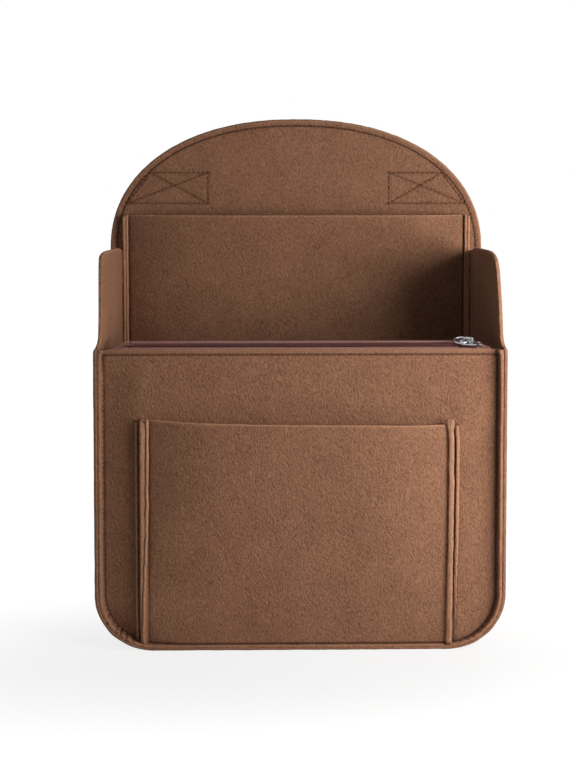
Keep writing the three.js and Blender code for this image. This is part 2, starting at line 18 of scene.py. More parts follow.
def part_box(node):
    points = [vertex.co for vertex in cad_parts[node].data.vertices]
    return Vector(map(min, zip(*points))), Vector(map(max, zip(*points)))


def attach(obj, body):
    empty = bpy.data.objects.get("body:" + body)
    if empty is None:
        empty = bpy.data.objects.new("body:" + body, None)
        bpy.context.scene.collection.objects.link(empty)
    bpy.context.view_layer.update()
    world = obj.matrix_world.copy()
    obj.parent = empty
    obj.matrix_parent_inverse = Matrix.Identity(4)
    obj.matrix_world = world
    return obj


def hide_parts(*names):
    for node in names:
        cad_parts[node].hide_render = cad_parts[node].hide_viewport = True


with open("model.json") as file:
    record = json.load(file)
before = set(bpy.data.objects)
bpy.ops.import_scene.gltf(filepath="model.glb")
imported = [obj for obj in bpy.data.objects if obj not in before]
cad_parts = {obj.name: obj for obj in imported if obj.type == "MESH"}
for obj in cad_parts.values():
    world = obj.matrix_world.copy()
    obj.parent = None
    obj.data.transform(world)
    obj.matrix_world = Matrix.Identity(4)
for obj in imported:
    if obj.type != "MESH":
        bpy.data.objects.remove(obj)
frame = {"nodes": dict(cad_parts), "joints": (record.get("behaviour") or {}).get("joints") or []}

LOG = logging.getLogger("insert")
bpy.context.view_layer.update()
MM = 0.001
QUARTER = math.pi / 2
BODY = "organizer"
Array = np.ndarray
Colour = tuple[float, float, float, float]
WHITE: Colour = (1.0, 1.0, 1.0, 1.0)


def linear(red: int, green: int, blue: int) -> Colour:
    """Turns a colour of 0 to 255 into the linear colour that shaders take.

    Args:
        red, green, blue: the channels as they look on screen.

    Returns:
        The linear colour with full alpha.
    """
    share = [value / 255 for value in (red, green, blue)]
    return (*(c / 12.92 if c <= 0.04045 else ((c + 0.055) / 1.055) ** 2.4 for c in share), 1.0)


class Side(Enum):
    """The two mirrored sides of the insert."""

    LEFT = -1
    RIGHT = 1

    @property
    def word(self) -> str:
        """The side's name in piece and node names."""
        return self.name.lower()

    def pick(self, pair: tuple) -> object:
        """Its own one of a left and a right value."""
        return pair[self is Side.RIGHT]


# Noise and small array helpers


class Noise:
    """Smooth noise on a hashed lattice that is the same in every run."""

    SLOTS = 4096
    PRIMES = (73856093, 19349663, 83492791)

    def __init__(self, seed: int, cell: float) -> None:
        """Fills the lattice.

        Args:
            seed: which noise.
            cell: size of a lattice cell in metres.
        """
        self.values = np.random.default_rng(seed).uniform(-1, 1, self.SLOTS)
        self.cell = cell

    def __call__(self, points: Array) -> Array:
        """Samples the noise.

        Args:
            points: any array of points, three numbers each.

        Returns:
            One value from -1 to 1 for each point.
        """
        scaled = points / self.cell
        base = np.floor(scaled).astype(np.int64)
        part = scaled - base
        part = part * part * (3 - 2 * part)
        total = np.zeros(points.shape[:-1])
        for corner in np.ndindex(2, 2, 2):
            lattice = base + np.array(corner)
            index = np.zeros(points.shape[:-1], np.int64)
            weight = np.ones(points.shape[:-1])
            for axis, prime in enumerate(self.PRIMES):
                index ^= lattice[..., axis] * prime
                weight *= part[..., axis] if corner[axis] else 1 - part[..., axis]
            total += weight * self.values[index % self.SLOTS]
        return total


def lerp(start: Array | float, end: Array | float, share: Array | float) -> Array | float:
    """The value a share of the way from start to end."""
    return start + (end - start) * share


def smooth(value: Array | float) -> Array | float:
    """Eases a value from 0 to 1 and holds it beyond."""
    share = np.clip(value, 0, 1)
    return share * share * (3 - 2 * share)


def between(knots: Array, share: Array) -> Array:
    """Values along rows of knots, where a share of 1.5 is midway from the second to the third."""
    first = np.minimum(share.astype(int), len(knots) - 2)
    return lerp(knots[first], knots[first + 1], (share - first)[:, None]).T


def unit(vectors: Array) -> Array:
    """Vectors brought to length one."""
    return vectors / np.maximum(np.linalg.norm(vectors, axis=-1, keepdims=True), 1e-12)


def graded(start: float, end: float, coarse: float, fine: float, hot: Iterable[float], reach: float) -> Array:
    """Places along a line, close together round the hot places.

    Args:
        start, end: ends of the line.
        coarse: spacing away from the hot places.
        fine: spacing at the hot places.
        hot: the places that need detail.
        reach: how far the fine spacing holds.

    Returns:
        The sorted places, both ends included.
    """
    hot = list(hot)
    places = [start]
    while places[-1] < end:
        near = min((abs(places[-1] - place) for place in hot), default=reach * 4)
        places.append(places[-1] + float(lerp(fine, coarse, smooth((near - reach) / (coarse * 4)))))
    scaled = np.array(places)
    return start + (scaled - start) * (end - start) / (scaled[-1] - start)


def relaxed(points: Array, passes: int, axis: int = 1) -> Array:
    """Rounds the bends of rows of points, with the ends held.

    Args:
        points: an array of points.
        passes: how many rounds of averaging.
        axis: the direction along which neighbours are averaged.

    Returns:
        The rounded points.
    """
    moved = np.moveaxis(points.copy(), axis, 0)
    for _ in range(passes):
        moved[1:-1] = (moved[:-2] + 2 * moved[1:-1] + moved[2:]) / 4
    return np.moveaxis(moved, 0, axis)


def lengths(points: Array, axis: int) -> Array:
    """Distance run along rows or columns of points."""
    steps = np.linalg.norm(np.diff(points, axis=axis), axis=-1)
    first = np.zeros_like(np.take(steps, [0], axis=axis))
    return np.concatenate([first, np.cumsum(steps, axis=axis)], axis=axis)


def spots(x: Array | float, y: Array | float, z: Array | float) -> Array:
    """Points from their X, Y and Z, each an array or one number for all."""
    return np.stack(np.broadcast_arrays(x, y, z), axis=-1).astype(float)


# Outlines of the box


@dataclass(frozen=True)
class Outline:
    """A U: half its width, the height of its bottom and the radius of its corners."""

    half: Array | float
    bottom: Array | float
    radius: Array | float

    def grown(self, out: float) -> "Outline":
        """The same U moved outward."""
        return Outline(self.half + out, self.bottom - out, self.radius + out)

    def mixed(self, other: "Outline", share: Array) -> "Outline":
        """A U between this one and another."""
        return Outline(
            lerp(self.half, other.half, share),
            lerp(self.bottom, other.bottom, share),
            lerp(self.radius, other.radius, share),
        )

    def half_at(self, height: Array) -> Array:
        """Half the width at each height."""
        below = np.maximum(self.bottom + self.radius - height, 0)
        across = np.sqrt(np.maximum(self.radius**2 - below**2, 0))
        return self.half - self.radius + across


@dataclass(frozen=True)
class UPath:
    """Stations down the left arm, round the bottom and up the right arm of a U."""

    side: Array
    share: Array
    angle: Array
    bottom: Array

    @classmethod
    def spaced(cls, arm: float, step: float, radius: float, run: float) -> "UPath":
        """Spaces the stations.

        Args:
            arm: length of an arm.
            step: distance between stations.
            radius: radius of the corners.
            run: half the straight run of the bottom.

        Returns:
            The path.
        """
        arms = np.linspace(1, 0, int(arm / step) + 1)[:-1]
        turns = np.linspace(0, QUARTER, int(radius * QUARTER / step) + 2)
        floor = np.linspace(1, 0, int(run / step) + 2)[1:]
        share = np.concatenate([arms, 0 * turns, 0 * floor])
        angle = np.concatenate([0 * arms, turns, 0 * floor + QUARTER])
        bottom = np.concatenate([0 * arms + 1, 0 * turns + 1, floor])
        mirror = slice(-2, None, -1)
        return cls(
            np.concatenate([-np.ones(len(share)), np.ones(len(share) - 1)]),
            np.concatenate([share, share[mirror]]),
            np.concatenate([angle, angle[mirror]]),
            np.concatenate([bottom, bottom[mirror]]),
        )

    def points(self, outline: Outline, out: Array, depth: Array, top: Array | float) -> Array:
        """The stations' points on one or more nested outlines.

        Args:
            outline: the U, with one value or one for each column.
            out: distance outside the U for each column.
            depth: Y of each column.
            top: height at which the arms end, for each column.

        Returns:
            Rows of stations by columns of points.
        """
        stations = (self.side, self.share, self.angle, self.bottom)
        side, share, angle, bottom = (part[:, None] for part in stations)
        reach = outline.radius + out
        across = (outline.half - outline.radius) * bottom + reach * np.cos(angle)
        up = lerp(outline.bottom + outline.radius, top, share) - reach * np.sin(angle)
        return spots(side * across, depth, up)


@dataclass(frozen=True)
class Layout:
    """Faces, outlines and heights of the insert, read off the frame."""

    felt: float = 2.2 * MM
    gap: float = 0.3 * MM
    hem_rise: float = 0.7 * MM
    rim_felt: tuple[float, float] = (2.2 * MM, 1.5 * MM)
    rim_inset: float = 3.3 * MM
    rim_foot: float = 3.15 * MM
    rim_reach: tuple[float, float] = (5 * MM, 4.4 * MM)
    rim_lean: tuple[float, float] = (1.1 * MM, 0.05 * MM)
    rim_slack: float = 0.02 * MM
    corner: float = 35 * MM
    arch_rise: float = 92.5 * MM
    arch_power: float = 2.2
    back_margin: float = 9 * MM
    lining_step: float = 0.8 * MM
    edge_inset: float = 4.8 * MM
    billow_in: tuple[float, float] = (2.8 * MM, 0.3 * MM)
    billow_out: float = 1.2 * MM
    billow_run: float = 23 * MM
    billow_foot: float = 20 * MM
    billow_head: float = 18 * MM
    billow_ease: float = 0.4
    pocket_rise: float = 1 * MM
    rear_sag: float = 1 * MM

    @property
    def panel_back(self) -> float:
        """Y of the front wall's rear face."""
        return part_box("front_panel")[1].y

    @property
    def front_face(self) -> float:
        """Y of the front wall's front face."""
        return self.panel_back - self.felt

    @property
    def front_top(self) -> float:
        """Height of the front wall."""
        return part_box("front_panel")[1].z + self.hem_rise

    @property
    def front_outline(self) -> Outline:
        """The U along which the front wall folds into its rim."""
        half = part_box("front_panel")[1].x - self.rim_inset
        return Outline(half, self.rim_foot, self.corner - self.rim_foot)

    def rim_shape(self, path: UPath) -> tuple[Array, Array, Array]:
        """How far the rim leans outward and reaches forward, and its felt, at each station."""
        low = np.sin(path.angle) ** 2
        return lerp(*self.rim_lean, low), lerp(*self.rim_reach, low), lerp(*self.rim_felt, low)

    def billow(self, x: Array, z: Array) -> Array:
        """How far the front wall bulges forward at a place; at its sides it is drawn back."""
        outline = self.front_outline
        share = np.clip((outline.half_at(z) - np.abs(x)) / self.billow_run, 0, 1)
        out = self.billow_out * smooth((z - outline.bottom) / self.billow_foot)
        drawn = np.where(x < 0, *self.billow_in)
        bulge = lerp(-drawn, out, lerp(share, smooth(share), self.billow_ease))
        return bulge * smooth((self.front_top - z) / self.billow_head)

    @property
    def back_face(self) -> float:
        """Y of the outside of the back."""
        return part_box("back_panel_shell")[1].y

    @property
    def lining_face(self) -> float:
        """Y of the inside of the back."""
        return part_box("back_panel_lining")[1].y - self.felt

    @property
    def back_half(self) -> float:
        """Half the width of the back."""
        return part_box("back_panel_shell")[1].x

    @property
    def top(self) -> float:
        """Height of the arch."""
        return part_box("back_panel_shell")[1].z

    @property
    def spring(self) -> float:
        """Height at which the arch begins."""
        return self.top - self.arch_rise

    @property
    def strip_front(self) -> Outline:
        """The inner face of the side strip at the front."""
        front = self.front_outline
        side, base = self.rim_felt
        half, bottom = front.half + side + self.rim_slack, front.bottom - base - self.rim_slack
        return Outline(half, bottom, front.radius + (side + base) / 2)

    @property
    def strip_back(self) -> Outline:
        """The inner face of the side strip at the back."""
        margin = self.back_margin
        return Outline(self.back_half - margin, margin, self.corner - margin)

    @property
    def flange_face(self) -> float:
        """Y of the rear flange of the side strip, where it meets the lining."""
        return self.lining_face - self.gap

    def arch_half(self, height: float, inset: float) -> float:
        """Half the width of the arch at a height, inside its edge."""
        up = max(height - self.spring, 0) / (self.arch_rise - inset)
        return (self.back_half - inset) * (1 - up**self.arch_power) ** (1 / self.arch_power)

    def arch(self, inset: float, steps: int) -> Array:
        """The arch from right to left as X and Z, inside its edge."""
        angle = np.linspace(0, math.pi, steps)
        power = 2 / self.arch_power
        x = np.sign(np.cos(angle)) * np.abs(np.cos(angle)) ** power
        z = np.abs(np.sin(angle)) ** power
        half, rise = self.back_half - inset, self.arch_rise - inset
        return np.stack([half * x, self.spring + rise * z], axis=-1)

    def back_outline(self, inset: float, step: float = 2 * MM) -> Array:
        """The whole outline of the back as X and Z, inside its edge."""
        whole = Outline(self.back_half, 0.0, self.corner).grown(-inset)
        path = UPath.spaced(self.spring - self.corner, step, self.corner, self.back_half - self.corner)
        base = path.points(whole, np.zeros(1), np.zeros(1), self.spring)[:, 0][:, [0, 2]]
        arch = self.arch(inset, int(math.pi * self.back_half / step))
        return np.concatenate([base, arch[1:-1]])


LAYOUT = Layout()


@dataclass(frozen=True)
class Fold:
    """How one side margin of a pocket stands away from the wall."""

    middle: float
    thickness: float
    lean_low: float = 0.0
    lean_high: float = 0.0
    sway: float = 0.0
    lift: float = 0.0
    tip_lift: float = 0.0
    bulb: float = 0.0
    hook: float = 0.0
    settled_share: ClassVar[float] = 0.75
    hook_share: ClassVar[float] = 0.93
    waver: ClassVar[Noise] = Noise(33, 35 * MM)

    @property
    def outside(self) -> float:
        """How far from the middle of the insert its outer face stands."""
        return self.middle + self.thickness / 2

    def lean(self, side: Side, rise: Array | float) -> Array | float:
        """How far its tip leans inward, and sways, at a share of the pocket's height."""
        lean = lerp(self.lean_low, self.lean_high, smooth(rise / self.settled_share))
        lean = lean + self.sway * self.waver(spots(rise, side.value, 0))
        return lean + self.hook * smooth((rise - self.hook_share) / (1 - self.hook_share))


FRONT_FOLDS = (
    Fold(
        middle=95.5 * MM,
        thickness=1.8 * MM,
        lean_low=-2.7 * MM,
        lean_high=0.7 * MM,
        sway=0.45 * MM,
        lift=2.2 * MM,
        tip_lift=0.4 * MM,
        bulb=0.15,
    ),
    Fold(
        middle=93.5 * MM,
        thickness=3.3 * MM,
        lean_low=1.4 * MM,
        lean_high=0.2 * MM,
        sway=0.35 * MM,
        lift=-1.5 * MM,
        tip_lift=3.8 * MM,
        bulb=0.5,
        hook=1.1 * MM,
    ),
)
REAR_FOLDS = (Fold(119.5 * MM, 1.76 * MM, sway=0.15 * MM),) * 2


@dataclass(frozen=True)
class RidgeLayer:
    """One layer of the wall's fold beside a pocket: its faces, how far it stops short and how it leans."""

    inner: float
    outer: float
    drop_low: float
    drop_high: float
    follow: float = 0.0


# Shader trees


class Graph:
    """A node tree under construction, for shaders and geometry alike."""

    def __init__(self, tree: bpy.types.NodeTree) -> None:
        """Takes the tree that is built."""
        self.tree = tree

    def add(self, kind: str, inputs: dict | None = None, **settings: object) -> bpy.types.Node:
        """Adds a node.

        Args:
            kind: the node's type.
            inputs: values or sockets by input name or number.
            settings: properties of the node.

        Returns:
            The node.
        """
        node = self.tree.nodes.new(kind)
        for key, value in settings.items():
            setattr(node, key, value)
        for key, value in (inputs or {}).items():
            self.feed(node.inputs[key], value)
        return node

    def out(self, kind: str, inputs: dict | None = None, **settings: object) -> bpy.types.NodeSocket:
        """Adds a node and gives its first output."""
        return self.add(kind, inputs, **settings).outputs[0]

    def feed(self, socket: bpy.types.NodeSocket, value: object) -> None:
        """Gives an input a value, or a link where the value is a socket."""
        if isinstance(value, bpy.types.NodeSocket):
            self.tree.links.new(value, socket)
        else:
            socket.default_value = value

    def math(self, operation: str, *values: object, clamp: bool = False) -> bpy.types.NodeSocket:
        """A sum of one to three values or sockets."""
        inputs = dict(enumerate(values))
        return self.out("ShaderNodeMath", inputs, operation=operation, use_clamp=clamp)

    def vector(self, operation: str, *values: object) -> bpy.types.NodeSocket:
        """A vector sum; a number goes to the Scale input."""
        node = self.add("ShaderNodeVectorMath", operation=operation)
        for index, value in enumerate(values):
            self.feed(node.inputs["Scale" if isinstance(value, (int, float)) else index], value)
        return node.outputs[0]

    def mix(self, share: object, first: object, second: object) -> bpy.types.NodeSocket:
        """A colour a share of the way between two."""
        inputs = {0: share, 6: first, 7: second}
        return self.add("ShaderNodeMix", inputs, data_type="RGBA").outputs[2]

    def noise(self, place: object, scale: float, detail: float = 2.0) -> bpy.types.Node:
        """A noise texture read at a place."""
        return self.add("ShaderNodeTexNoise", {"Vector": place, "Scale": scale, "Detail": detail})

    def span(self, value: object, low: float, high: float) -> bpy.types.NodeSocket:
        """A value spread from low..high to 0..1, smoothly."""
        inputs = {"Value": value, "From Min": low, "From Max": high}
        return self.out("ShaderNodeMapRange", inputs, interpolation_type="SMOOTHSTEP")


def shader_group(name: str, inputs: dict[str, str], outputs: dict[str, str]) -> tuple[Graph, dict, dict]:
    """Starts a shader node group.

    Args:
        name: the group's name.
        inputs: kind of socket by input name.
        outputs: kind of socket by output name.

    Returns:
        The graph, the input sockets by name and the output sockets by name.
    """
    tree = bpy.data.node_groups.new(name, "ShaderNodeTree")
    for label, kind in inputs.items():
        tree.interface.new_socket(label, in_out="INPUT", socket_type=f"NodeSocket{kind}")
    for label, kind in outputs.items():
        tree.interface.new_socket(label, in_out="OUTPUT", socket_type=f"NodeSocket{kind}")
    graph = Graph(tree)
    start = graph.add("NodeGroupInput")
    end = graph.add("NodeGroupOutput")
    return graph, dict(start.outputs.items()), dict(end.inputs.items())


@dataclass(frozen=True)
class FibreLook:
    """Scales, in waves to the millimetre, and strengths of the noises that make matted fibres."""

    bend_scale: float = 0.13
    bend: float = 5.0
    curl_scale: float = 0.8
    curl: float = 0.5
    lean: float = -0.3
    stretch: float = 1.9
    coarse_scale: float = 1.05
    fine_scale: float = 2.1
    fine_share: float = 0.35
    cloud_scale: float = 0.05


class Effects:
    """Shader groups that several finishes share, each built once."""

    HALF = (0.5, 0.5, 0.5)
    SHIFT = (31.0, 17.0, 5.0)
    SPECKLE_SCALE = 2.2
    SPECKLE_SHARE = 0.6
    THREAD_SHARE = 0.5

    @classmethod
    @cache
    def fibres(cls) -> bpy.types.NodeTree:
        """Matted fibres, warped and drawn out upward: Tone runs from dark pits to light strands.

        Returns:
            The group; its Height follows its Tone.
        """
        look = FibreLook()
        inputs = {"Place": "Vector", "Contrast": "Float", "Clouds": "Float"}
        graph, given, result = shader_group("fibre_mat", inputs, {"Tone": "Float", "Height": "Float"})
        in_mm = graph.vector("SCALE", given["Place"], 1 / MM)
        bent = in_mm
        for scale, strength in ((look.bend_scale, look.bend), (look.curl_scale, look.curl)):
            warp = graph.vector("SUBTRACT", graph.noise(in_mm, scale, 1).outputs["Color"], cls.HALF)
            bent = graph.vector("ADD", bent, graph.vector("SCALE", warp, strength))
        turned = {"Vector": bent, "Rotation": (0.0, look.lean, 0.0), "Scale": (1.0, 1.0, look.stretch)}
        drawn = graph.out("ShaderNodeMapping", turned, vector_type="TEXTURE")
        coarse = graph.noise(drawn, look.coarse_scale, 0).outputs["Fac"]
        fine = graph.noise(graph.vector("ADD", drawn, cls.SHIFT), look.fine_scale, 0).outputs["Fac"]
        cloud = graph.noise(in_mm, look.cloud_scale).outputs["Fac"]
        coarse = graph.math("MULTIPLY", coarse, 1 - look.fine_share)
        mixed = graph.math("MULTIPLY_ADD", fine, look.fine_share, coarse)
        centred = graph.math("SUBTRACT", mixed, 0.5)
        drift = graph.math("MULTIPLY", graph.math("SUBTRACT", cloud, 0.5), given["Clouds"])
        tone = graph.math("MULTIPLY_ADD", centred, given["Contrast"], 0.5)
        graph.feed(result["Tone"], graph.math("ADD", tone, drift, clamp=True))
        graph.feed(result["Height"], mixed)
        return graph.tree

    @classmethod
    @cache
    def weave(cls) -> bpy.types.NodeTree:
        """Woven threads from two crossed waves on a piece's own UV map, which is in metres.

        Returns:
            The group; its Height is over and under by a chequer of the two directions.
        """
        inputs = {"Place": "Vector", "Pitch": "Float", "Slant": "Float"}
        graph, given, result = shader_group("thread_weave", inputs, {"Tone": "Float", "Height": "Float"})
        parts = graph.add("ShaderNodeSeparateXYZ", {0: given["Place"]}).outputs
        along, across = (graph.math("DIVIDE", part, given["Pitch"]) for part in (parts[0], parts[1]))
        slanted = graph.math("MULTIPLY_ADD", across, given["Slant"], along)
        waves = (graph.math("MULTIPLY", run, math.tau) for run in (slanted, across))
        first, second = (graph.math("SINE", wave) for wave in waves)
        height = graph.math("MULTIPLY_ADD", graph.math("MULTIPLY", first, second), 0.5, 0.5)
        in_mm = graph.vector("SCALE", given["Place"], 1 / MM)
        speckle = graph.noise(in_mm, cls.SPECKLE_SCALE).outputs["Fac"]
        raised = graph.math("MULTIPLY", height, cls.THREAD_SHARE)
        graph.feed(result["Tone"], graph.math("MULTIPLY_ADD", speckle, cls.SPECKLE_SHARE, raised))
        graph.feed(result["Height"], height)
        return graph.tree


# Finishes


@dataclass(frozen=True)
class Finish:
    """What every finish has: a name, the record's slot, its gloss and its relief."""

    name: str
    slot: str
    roughness: float = 0.9
    sheen: float = 0.0
    metallic: float = 0.0
    gloss: float = 0.5
    depth: float = 0.05 * MM
    strength: float = 0.4

    def material(self) -> bpy.types.Material:
        """The finished material, made once."""
        return bpy.data.materials.get(self.name) or self._make()

    def _make(self) -> bpy.types.Material:
        """Makes the material and leaves its pattern to the kind of finish."""
        material = bpy.data.materials.new(self.name)
        material.use_nodes = True
        graph = Graph(material.node_tree)
        shader = material.node_tree.nodes["Principled BSDF"]
        shader.inputs["Roughness"].default_value = self.roughness
        shader.inputs["Metallic"].default_value = self.metallic
        shader.inputs["Sheen Weight"].default_value = self.sheen
        shader.inputs["Specular IOR Level"].default_value = self.gloss
        self.pattern(graph, shader)
        return material

    def place(self, graph: Graph) -> bpy.types.NodeSocket:
        """The object coordinates that the pattern reads."""
        return graph.add("ShaderNodeTexCoord").outputs["Object"]

    def bump(self, graph: Graph, shader: bpy.types.Node, height: object) -> None:
        """Lets a height ripple the surface.

        Args:
            graph: the material's graph.
            shader: the Principled node.
            height: the height socket.
        """
        relief = {"Height": height, "Distance": self.depth, "Strength": self.strength}
        graph.feed(shader.inputs["Normal"], graph.out("ShaderNodeBump", relief))

    def pattern(self, graph: Graph, shader: bpy.types.Node) -> None:
        """Gives the Principled node its colour and relief; each kind of finish has its own way."""
        raise NotImplementedError


@dataclass(frozen=True)
class FeltFinish(Finish):
    """Pressed felt: matted fibres, cloudy tone, a painted highlight on the cut edges and painted shade in
    grooves and crevices.
    """

    gloss: float = 0.2
    depth: float = 0.8 * MM
    strength: float = 0.75
    dark: Colour = linear(92, 58, 41)
    light: Colour = linear(171, 125, 97)
    # Colours of the painted highlight on cut edges and of the painted shade in grooves and crevices.
    edge: Colour = linear(192, 142, 111)
    shade_colour: Colour = linear(58, 33, 23)
    sheen_tint: Colour = linear(214, 176, 150)
    sheen_spread: float = 0.45
    contrast: float = 1.05
    clouds: float = 0.3
    ragged: tuple[float, float] = (0.9, 0.25)

    def pattern(self, graph: Graph, shader: bpy.types.Node) -> None:
        """Builds the felt from the fibre group, the edge values of its painted highlight and the seam values
        of its painted shade.
        """
        inputs = {"Place": self.place(graph), "Contrast": self.contrast, "Clouds": self.clouds}
        mat = graph.add("ShaderNodeGroup", inputs, node_tree=Effects.fibres()).outputs
        body = graph.mix(mat["Tone"], self.dark, self.light)
        # Painted highlight: cut edges are lightened towards the edge colour.
        edge = graph.add("ShaderNodeAttribute", attribute_name="edge").outputs["Fac"]
        ragged = graph.math("MULTIPLY_ADD", mat["Tone"], *self.ragged)
        edged = graph.mix(graph.math("MULTIPLY", edge, ragged, clamp=True), body, self.edge)
        # Painted shade: grooves and crevices are darkened towards the shade colour.
        seam = graph.add("ShaderNodeAttribute", attribute_name="seam").outputs["Fac"]
        graph.feed(shader.inputs["Base Color"], graph.mix(seam, edged, self.shade_colour))
        shader.inputs["Sheen Roughness"].default_value = self.sheen_spread
        shader.inputs["Sheen Tint"].default_value = self.sheen_tint
        self.bump(graph, shader, mat["Height"])


@dataclass(frozen=True)
class WovenFinish(Finish):
    """Woven tape or webbing, on the piece's own UV map."""

    depth: float = 0.25 * MM
    strength: float = 0.7
    dark: Colour = linear(92, 56, 48)
    light: Colour = linear(166, 118, 106)
    pitch: float = 0.8 * MM
    slant: float = 0.0

    def pattern(self, graph: Graph, shader: bpy.types.Node) -> None:
        """Builds the weave from the weave group."""
        place = graph.out("ShaderNodeUVMap", uv_map="cloth")
        inputs = {"Place": place, "Pitch": self.pitch, "Slant": self.slant}
        weave = graph.add("ShaderNodeGroup", inputs, node_tree=Effects.weave()).outputs
        graph.feed(shader.inputs["Base Color"], graph.mix(weave["Tone"], self.dark, self.light))
        self.bump(graph, shader, weave["Height"])


@dataclass(frozen=True)
class SpunFinish(Finish):
    """Thread or nylon: one colour that varies a little along its length."""

    dark: Colour = linear(78, 48, 35)
    light: Colour = linear(126, 84, 62)
    scale: float = 900.0
    tones: tuple[float, float] = (0.3, 0.7)

    def pattern(self, graph: Graph, shader: bpy.types.Node) -> None:
        """Builds the thread with a fine twist."""
        twist = graph.noise(self.place(graph), self.scale).outputs["Fac"]
        tone = graph.span(twist, *self.tones)
        graph.feed(shader.inputs["Base Color"], graph.mix(tone, self.dark, self.light))
        self.bump(graph, shader, twist)


@dataclass(frozen=True)
class MetalFinish(Finish):
    """Plated metal with faint polishing marks and a roughness that varies in small patches."""

    metallic: float = 1.0
    depth: float = 0.02 * MM
    strength: float = 0.3
    dark: Colour = linear(120, 121, 122)
    light: Colour = linear(196, 197, 200)
    mark_scale: float = 1400.0
    cloud_scale: float = 350.0
    smoother: float = 0.05
    rougher: float = 0.18

    def pattern(self, graph: Graph, shader: bpy.types.Node) -> None:
        """Builds the plating from two noises."""
        place = self.place(graph)
        marks = graph.noise(place, self.mark_scale, 3).outputs["Fac"]
        cloud = graph.noise(place, self.cloud_scale).outputs["Fac"]
        graph.feed(shader.inputs["Base Color"], graph.mix(cloud, self.dark, self.light))
        rough = graph.math("MULTIPLY_ADD", marks, self.rougher, self.roughness - self.smoother)
        graph.feed(shader.inputs["Roughness"], rough)
        self.bump(graph, shader, marks)


FELT = FeltFinish("brown_felt", "felt", roughness=0.95, sheen=0.22)
WEBBING = WovenFinish(
    name="strap_webbing",
    slot="strap",
    roughness=0.85,
    sheen=0.15,
    dark=linear(66, 40, 29),
    light=linear(128, 86, 64),
    pitch=1.5 * MM,
    slant=0.5,
)
TAPE = WovenFinish(
    name="zip_tape_weave",
    slot="zip_tape",
    roughness=0.85,
    sheen=0.2,
    dark=linear(112, 64, 54),
    light=linear(200, 136, 120),
    pitch=0.7 * MM,
)
NYLON = SpunFinish(
    name="zip_nylon",
    slot="zip_coil",
    roughness=0.38,
    dark=linear(58, 21, 19),
    light=linear(110, 43, 39),
)
THREAD = SpunFinish(
    name="brown_thread",
    slot="thread",
    roughness=0.8,
    gloss=0.2,
    dark=linear(60, 35, 24),
    light=linear(106, 68, 49),
)
METAL = MetalFinish("nickel_plate", "zip_metal", roughness=0.2)
DULL_METAL = MetalFinish(
    name="dull_plate",
    slot="zip_metal",
    roughness=0.42,
    dark=linear(74, 58, 54),
    light=linear(120, 100, 94),
)


# Meshes


@dataclass(frozen=True)
class StitchKind:
    """Length, pitch and thickness of a row of stitches."""

    pitch: float = 3.2 * MM
    length: float = 2.5 * MM
    width: float = 0.62 * MM
    seed: int = 5


STITCH = StitchKind()


def in_scene(name: str, data: bpy.types.ID) -> bpy.types.Object:
    """A new object of the scene."""
    thing = bpy.data.objects.new(name, data)
    bpy.context.scene.collection.objects.link(thing)
    return thing


def bake(piece: bpy.types.Object) -> None:
    """Turns what a piece's modifiers make into its plain mesh."""
    evaluated = piece.evaluated_get(bpy.context.evaluated_depsgraph_get())
    result = bpy.data.meshes.new_from_object(evaluated)
    piece.modifiers.clear()
    piece.data = result


def new_object(name: str, points: Array, faces: list, finish: Finish) -> bpy.types.Object:
    """A mesh object with smooth faces turned outward.

    Args:
        name: the piece's name.
        points: its points in metres.
        faces: tuples of point numbers.
        finish: what it is made of.

    Returns:
        The object, in the scene.
    """
    mesh = bpy.data.meshes.new(name)
    mesh.from_pydata(points.reshape(-1, 3).tolist(), [], faces)
    mesh.validate()
    mesh.update()
    mesh.calc_loop_triangles()
    corners = np.array([t.vertices for t in mesh.loop_triangles])
    a, b, c = (points.reshape(-1, 3)[corners[:, i]] for i in range(3))
    if np.einsum("ij,ij->", a, np.cross(b, c)) < 0:
        mesh.flip_normals()
    mesh.shade_smooth()
    mesh.materials.append(finish.material())
    return in_scene(name, mesh)


def paint(piece: bpy.types.Object, label: str, values: Array) -> None:
    """Stores a value for each point of a piece, for its material to read."""
    layer = piece.data.attributes.new(label, "FLOAT", "POINT")
    layer.data.foreach_set("value", values.astype(np.float32).ravel())


def cloth_map(piece: bpy.types.Object, places: Array) -> None:
    """Gives a piece a UV map from two numbers, in metres, for each of its points."""
    layer = piece.data.uv_layers.new(name="cloth")
    corners = np.zeros(len(piece.data.loops), np.int64)
    piece.data.loops.foreach_get("vertex_index", corners)
    layer.data.foreach_set("uv", places[corners].astype(np.float32).ravel())


